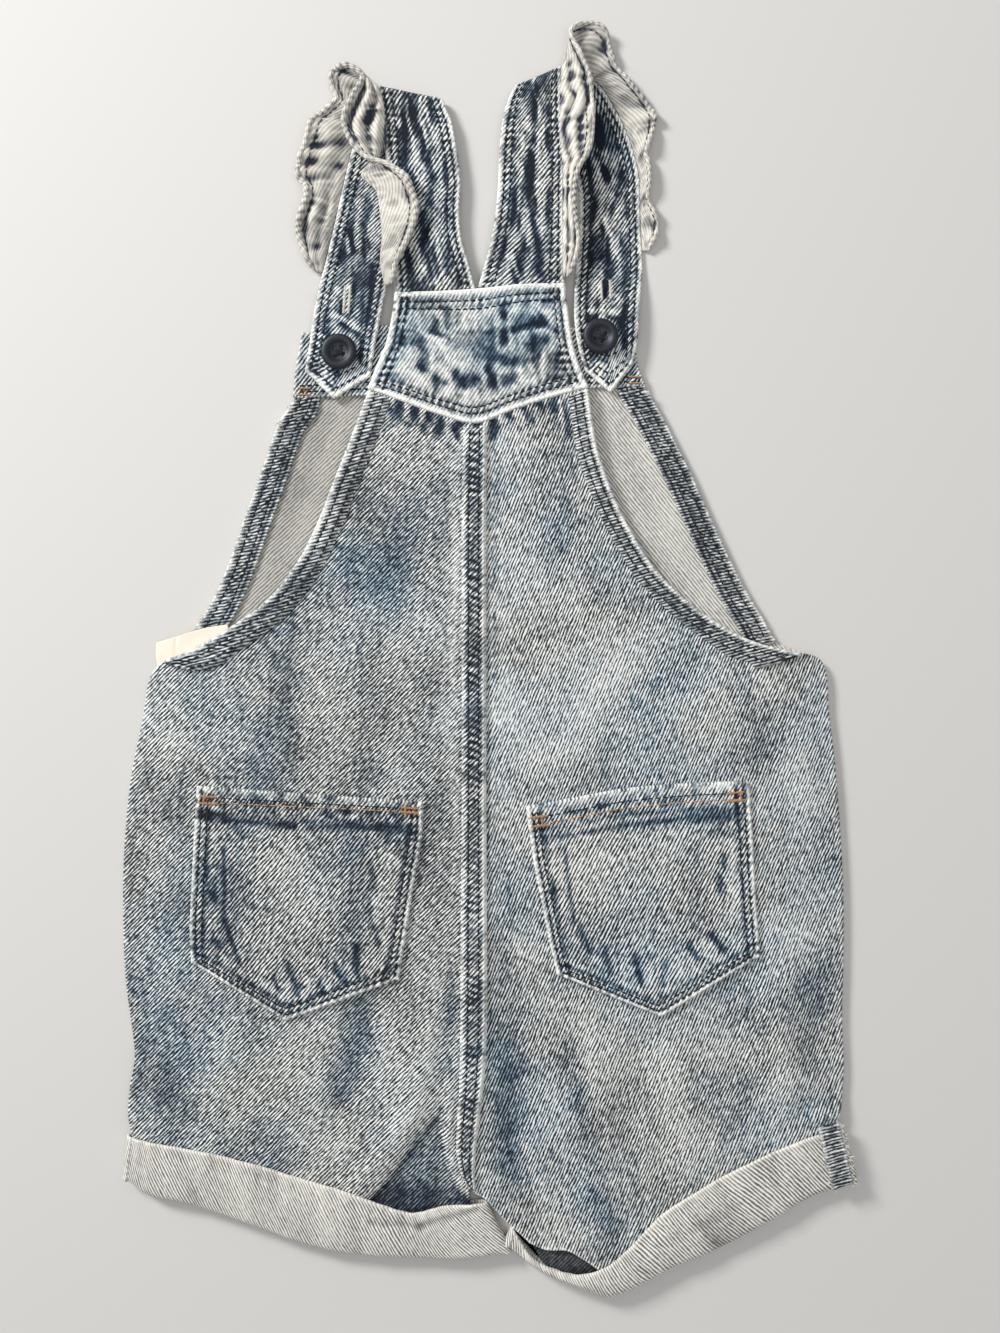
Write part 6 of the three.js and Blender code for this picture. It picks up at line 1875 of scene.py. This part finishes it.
def ruffle_folds(u, v, squash, seed):
    """Cross pleats where the strip runs free and wandering long folds where it is squashed."""
    phase = 2 * np.pi * (RUFFLE_WAVES * v + 0.35 * noise_1d(v, 0.05, seed))
    pleats = np.sin(phase + 0.8 * noise_1d(v, 0.03, seed + 5)) * u**0.7
    wander = 0.26 * noise_1d(v, 0.045, seed + 1) + 0.05 * noise_1d(v, 0.020, seed + 2)
    rolls = np.sin(2 * np.pi * (2.1 * (u + wander)) + 0.6 + 0.6 * noise_1d(v, 0.02, seed + 6))
    return (1 - squash) * pleats + squash * rolls


def ruffle_place(rows, seed):
    root = route([row[:3] for row in rows])
    free = route([row[3:6] for row in rows])
    manner = route([row[6:9] for row in rows])

    def place(u, v):
        u, v = paired(u, v)
        start, end = root(v), free(v)
        point = start * (1 - u[..., None]) + end * u[..., None]
        height, squash = manner(v)[..., 0], np.clip(manner(v)[..., 1], 0, 1)
        folds = ruffle_folds(u, v, squash, seed) * ramp(0, 0.2, u)
        away = end - start
        away /= np.linalg.norm(away, axis=-1, keepdims=True) + 1e-9
        point += away * (0.5 * folds * u**2 * height * (1 - squash))[..., None]
        point[..., 2] += height * (0.8 * u + 0.75 * folds + 0.8 * np.sin(np.pi * u))
        return point

    return place, manner


def hem_rope(name, place, radius, seed):
    """The ruffle's hem is rolled to a cord: a thin tube of cloth, ribbed by its sewing."""
    v = even(place, 0.55, 0.4, 1.0, at_u=1.0)
    path = place(np.ones_like(v), v)
    s = passed_along(path)
    angle = full_turn(ROPE_SIDES)
    run = np.gradient(path, axis=0)
    run /= np.linalg.norm(run, axis=1, keepdims=True)
    side = np.cross(run, [0, 0, 1.0])
    side /= np.linalg.norm(side, axis=1, keepdims=True) + 1e-9
    up = np.cross(side, run)
    ribs = np.sin((2 * np.pi * s / 2.6 + 2.2 * noise_1d(s, 7, seed))[:, None] + angle)
    ribs = ribs * (0.7 + 0.3 * noise_1d(s, 9, seed + 2))[:, None]
    ends = ramp(0, 3, s) * ramp(s[-1], s[-1] - 3, s)
    size = radius * (0.35 + 0.65 * ends) * (1 + 0.2 * noise_1d(s, 14, seed + 1))
    path[:, 2] = np.maximum(path[:, 2], size + 0.15)
    wall = size[:, None, None] * circles(side, up, angle) * (1 + 0.07 * ribs)[..., None]
    outer, inner = path[:, None] + wall, path[:, None] + 0.6 * wall
    plan = np.dstack([radius * angle[None] + 0 * s[:, None], s[:, None] + 0 * angle[None]])
    relief = 0.6 * ribs + 0.3 * noise_1d(s, 11, seed + 3)[:, None]
    return shell_mesh(name, outer, inner, plan, 0 * relief, relief, [RUFFLE_INSIDE], wrap=True)


def ruffle(name, rows, width, radius, seed):
    """The width, the strip's own in mm, is not used; the radius is its rolled hem's."""
    place, manner = ruffle_place(rows, seed)
    cloth = BentCloth(place, spread(16, 0.55, 0.35, 3), even(place, 0.58, 0.58, at_u=0.8))
    u, s = cloth.us[None, :], cloth.along[:, -4:-3]
    squash, painted_shade = (np.clip(manner(cloth.vs)[:, k:k + 1], 0, 1) for k in (1, 2))
    folds = ruffle_folds(u, cloth.vs[:, None], squash, seed)
    lean = s + 4 * (1 - u) * noise_1d(s, 15, seed + 3)
    fine = crumple(lean / 1.5, u * 5, 2.1, seed + 4) * ramp(0, 0.12, u) * ramp(0.97, 0.8, u)
    # The last column of the table darkens the gathers' hollows: painted shade.
    cloth.relief += (0.35 + 0.45 * painted_shade) * folds - 0.35 * painted_shade + (0.34 + 0.3 * squash) * fine
    cloth.relief -= 0.7 * bell((1 - u) * RUFFLE_STRIP - 2.4, 0.5)
    cloth.finish_bent(name, 0.7, [RUFFLE_INSIDE, RUFFLE_INSIDE], 0.2 * fine)
    rope = hem_rope(f"{name}_hem", place, radius, seed + 7)
    length = cloth.along[-1].mean()
    dress(cloth.object, name, "ruffle_cloth", (width, length), held="gathered",
          rests_on=[name.replace("ruffle", "strap")], with_pieces=[rope])
    for below in (False, True):
        line = cloth.line(1 - 2.5 / RUFFLE_STRIP, np.linspace(0.02, 0.98, 1500), below)
        navy_thread.row(line, length=1.6, gap=0.8, radius=0.24, seed=seed)


ruffle("ruffle_left", RUFFLE_LEFT, 16, 1.15, 221)
ruffle("ruffle_right", RUFFLE_RIGHT, 12.5, 0.9, 241)

# %% [markdown]
# Buttons
#
# The buttons are moulded: a raised rim, a dished well and four holes, sewn on with a cross of
# thread. The profile is turned round its axis and the holes are cut through, because a painted
# hole would not let the thread go in.

# %% The two sewn-through buttons
def button_material():
    material, tree, shader = begin_material("navy_button", 0.5)
    shader.inputs["Specular IOR Level"].default_value = 0.5
    place = put(tree, "ShaderNodeTexCoord").outputs["Object"]
    cloudy = scaled(tree, noise(tree, place, 700.0, 3.0), 0.3, 0.7, 0.0, 1.0)
    colour_between(tree, shader, cloudy, (0.004, 0.006, 0.014), (0.008, 0.010, 0.022))
    bump(tree, shader, cloudy, 0.00004, 0.6)
    return material


BUTTON = button_material()
# radius and height in mm, from the middle of the base round to the middle of the well
BUTTON_PROFILE = [(0, 0), (5.6, 0), (6.3, 0.25), (6.7, 0.8), (6.75, 1.6), (6.6, 2.2), (6.2, 2.7),
                  (5.6, 2.95), (4.9, 2.95), (4.3, 2.75), (3.7, 2.35), (3.2, 1.95), (2.8, 1.8),
                  (0, 1.75)]
BUTTON_BASE = 4.25
HOLE_OFFSET, HOLE_RADIUS = 1.35, 0.75


def button(name, x, y, z, turn):
    segments = 72
    angle = full_turn(segments)
    base, well = BUTTON_PROFILE[0][1], BUTTON_PROFILE[-1][1]
    rings = [np.array([[0, 0, base]])]
    for radius, height in BUTTON_PROFILE[1:-1]:
        ring = np.stack([radius * np.cos(angle), radius * np.sin(angle), 0 * angle + height], -1)
        rings.append(ring)
    rings.append(np.array([[0, 0, well]]))
    points = np.vstack(rings)
    faces = []
    row = lambda k: 1 + k * segments
    for j in range(segments):
        n = (j + 1) % segments
        faces.append([0, row(0) + n, row(0) + j])
        for k in range(len(rings) - 3):
            faces.append([row(k) + j, row(k) + n, row(k + 1) + n, row(k + 1) + j])
        faces.append([row(len(rings) - 3) + j, row(len(rings) - 3) + n, len(points) - 1])
    mesh = bpy.data.meshes.new(f"{name}_moulded")
    mesh.from_pydata((points * MM).tolist(), [], faces)
    mesh.materials.append(BUTTON)
    piece = add_object(mesh.name, mesh)
    drill_holes(piece)
    piece.data.polygons.foreach_set("use_smooth", np.ones(len(piece.data.polygons), bool))
    piece.location = ((x + SHIFT[0]) * MM, (y + SHIFT[1]) * MM, z * MM)
    piece.rotation_euler = (0, 0, math.radians(turn))
    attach(piece, "root")
    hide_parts(name)
    cross_thread(x, y, z + well, turn)
    print(piece.name, len(piece.data.polygons), "faces")


def drill_holes(piece):
    """Cuts four holes through a button and keeps only the result."""
    cutters = []
    for sx, sy in ((1, 1), (1, -1), (-1, 1), (-1, -1)):
        bpy.ops.mesh.primitive_cylinder_add(
            vertices=20, radius=HOLE_RADIUS * MM, depth=10 * MM,
            location=(sx * HOLE_OFFSET * MM, sy * HOLE_OFFSET * MM, 0))
        cutters.append(bpy.context.object)
    for cutter in cutters:
        cut = piece.modifiers.new("hole", "BOOLEAN")
        cut.object = cutter
        cut.operation = "DIFFERENCE"
    solid = bpy.data.meshes.new_from_object(
        piece.evaluated_get(bpy.context.evaluated_depsgraph_get()))
    piece.modifiers.clear()
    piece.data = solid
    for cutter in cutters:
        bpy.data.objects.remove(cutter)


def cross_thread(x, y, z, turn):
    """Two bundles of thread, crossed from hole to hole."""
    reach = math.hypot(HOLE_OFFSET, HOLE_OFFSET) + 0.35
    for k, angle in enumerate((45, 135)):
        heading = math.radians(angle + turn + 90)
        navy_thread.satin((x, y, z + 0.15 + 0.3 * k), heading, (-0.45, -0.15, 0.15, 0.45),
                          reach, -reach, 0.28, 1.8)


button("button_left", *BUTTON_LEFT_DRAWN, BUTTON_BASE, 12)
button("button_right", 41.0, 121.6, BUTTON_BASE, -20)

# %% [markdown]
# The care label
#
# A folded tape of smooth white weave is caught in the top of the left side seam. It is blank
# here. It is a thin shell with a soft curl, for a flat card would catch the light too evenly.

# %% The blank label
label_place = panel(
    outer=[(-127.9, 5.4), (-128, 0.6), (-127.4, -3.6)],
    inner=[(-101.2, 12.4), (-100.8, 11.6), (-100.6, 10.9)],
    top=[(-127.9, 5.4), (-119.9, 7.8), (-110.4, 10.8), (-101.2, 12.4)],
    hem=[(-127.4, -3.6), (-118, 0.8), (-109, 5.8), (-100.6, 10.9)])


def care_label():
    cloth = Cloth(label_place, spread(30, 0.6, 0.4, 2), spread(9, 0.5, 0.3, 1))
    cloth.lift = 0.25 * np.sin(cloth.across / 5) + 0.2 * noise_2d(cloth.x, cloth.y, 8, 261) + 0.3
    cloth.lift -= 0.25 * bell(cloth.across - 8, 0.6)
    under = lambda x, y: LAYER + 0.85 + 0 * x
    piece = cloth.finish("care_label", under, 0.4, [LABEL_TAPE, LABEL_TAPE])
    dress(piece, "care_label", "label", (30, 10), area=160, rests_on=["front_left"])


care_label()

# %% [markdown]
# Sew up
#
# The rows drawn above become three meshes, one for each thread: near-black for the seams, tan
# for the bars at the pocket mouths and bib, and pale for the frays and the two buttonholes.

# %% Bars, frays and the three threads
BIB_BARS = [(-71.5, 101.2), (54.6, 105.6)]
# x, y, z, heading, count, length, spread: loose fibres at the corners of the turned hems.
FRAYS = [(-80.6, 88.6, 3.6, 160, 22, 2.4, 0.9), (-77.2, 95.6, 3.6, 175, 12, 1.4, 1.0),
         (-110.6, 15, 3.6, 200, 16, 2.2, 0.9), (58.8, 100.4, 3.6, 20, 16, 1.8, 0.9)]

for x, y in BIB_BARS:
    for offset in (-1.2, 1.2):
        tan_thread.bartack((x, y + offset, 2.95), 0, 5.0, 0.8)


def fray(x, y, z, heading, count, length, spread_mm, seed):
    """Loose fibres that stick out of a raw edge; heading is in degrees."""
    luck = np.random.default_rng(seed)
    turn = np.radians(heading + luck.uniform(-50, 50, count))
    reach = length * luck.uniform(0.4, 1, count)
    start = np.array([x, y, z]) + luck.uniform(-1, 1, (count, 3)) * [spread_mm, spread_mm, 0.3]
    step = np.stack([np.cos(turn) * reach, np.sin(turn) * reach, 0 * turn], -1)
    up = np.repeat([[0, 0, 1.0]], count, 0)
    pale_thread.bars(start, start + step, up, 0.11, 3.0)


def buttonhole(x, y, z, length, turn, gape):
    """Pale stitches laid side by side round a worked slot; gape is half the slot's width."""
    offsets = np.arange(-length / 2, length / 2, 0.5)
    for hand in (-1, 1):
        pale_thread.satin((x, y, z), math.radians(turn), offsets, hand * gape, hand * (gape + 1),
                          0.2, 1.2)


for k, corner in enumerate(FRAYS):
    fray(*corner, 301 + k)
for k, share in enumerate(np.linspace(0, 1, 9)):
    fray(130.6 + 5.2 * share, -176 - 22.6 * share, 6.6, -10, 9, 2.2, 1.3, 310 + k)
    fray(123.8 + 5.6 * share, -179 - 22 * share, 6.6, 170, 4, 1.3, 1.0, 330 + k)
buttonhole(-55.3, 136, 4.35, 10.4, 86, 0.45)
buttonhole(43.1, 139.8, 4.35, 6.6, 93, 1.2)
sewn = [navy_thread.sew("navy_stitching", DARK_THREAD),
        tan_thread.sew("tan_stitching", TAN_THREAD),
        pale_thread.sew("pale_frays", PALE_FRAY)]
for piece in sewn:
    print(piece.name, len(piece.data.polygons), "faces")

# %% [markdown]
# Floor and light
#
# The floor is plain and pale, so only the cloth speaks. The photograph was lit by a large soft
# source from the upper left: an area lamp there makes the shadows, a wide one overhead fills
# them, and a pale world keeps the hollows readable.

# %% The floor, the lamps and the world
FLOOR_HALF, FLOOR_DROP = 4, -0.0002


def floor():
    material = bpy.data.materials.new("pale_floor")
    material.use_nodes = True
    shader = material.node_tree.nodes["Principled BSDF"]
    shader.inputs["Base Color"].default_value = (0.66, 0.64, 0.61, 1)
    shader.inputs["Roughness"].default_value = 0.9
    mesh = bpy.data.meshes.new("floor")
    corners = [(x * FLOOR_HALF, y * FLOOR_HALF, 0)
               for x, y in ((-1, -1), (1, -1), (1, 1), (-1, 1))]
    mesh.from_pydata(corners, [], [(0, 1, 2, 3)])
    mesh.materials.append(material)
    ground = add_object("floor", mesh)
    ground.location.z = FLOOR_DROP
    ground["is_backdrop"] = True


def lamp(name, place, power, size):
    data = bpy.data.lights.new(name, "AREA")
    data.energy = power
    data.size = size
    light = add_object(name, data)
    light.location = place
    x, y, z = place
    light.rotation_euler = (math.atan2(math.hypot(x, y), z), 0, math.atan2(x, -y))


floor()
lamp("window", (-1.0, 0.85, 0.75), 23, 0.35)
lamp("overhead", (0.2, -0.1, 1.6), 6, 1.6)
bpy.context.scene.view_settings.view_transform = "Standard"
world = bpy.data.worlds.new("soft_room")
world.use_nodes = True
world.node_tree.nodes["Background"].inputs["Color"].default_value = (0.95, 0.97, 1.0, 1)
world.node_tree.nodes["Background"].inputs["Strength"].default_value = 0.42
bpy.context.scene.world = world

# %% [markdown]
# The solids' box and the dressed box
#
# The box of the frame's solids is printed at the start, and the box of the dressed garment here.
# The dressed garment has to stay close to the frame's solids.

# %% Print the dressed box and finish
dressed_box = [list(corner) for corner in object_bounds()]
print("dressed box", np.round(dressed_box, 4).tolist())
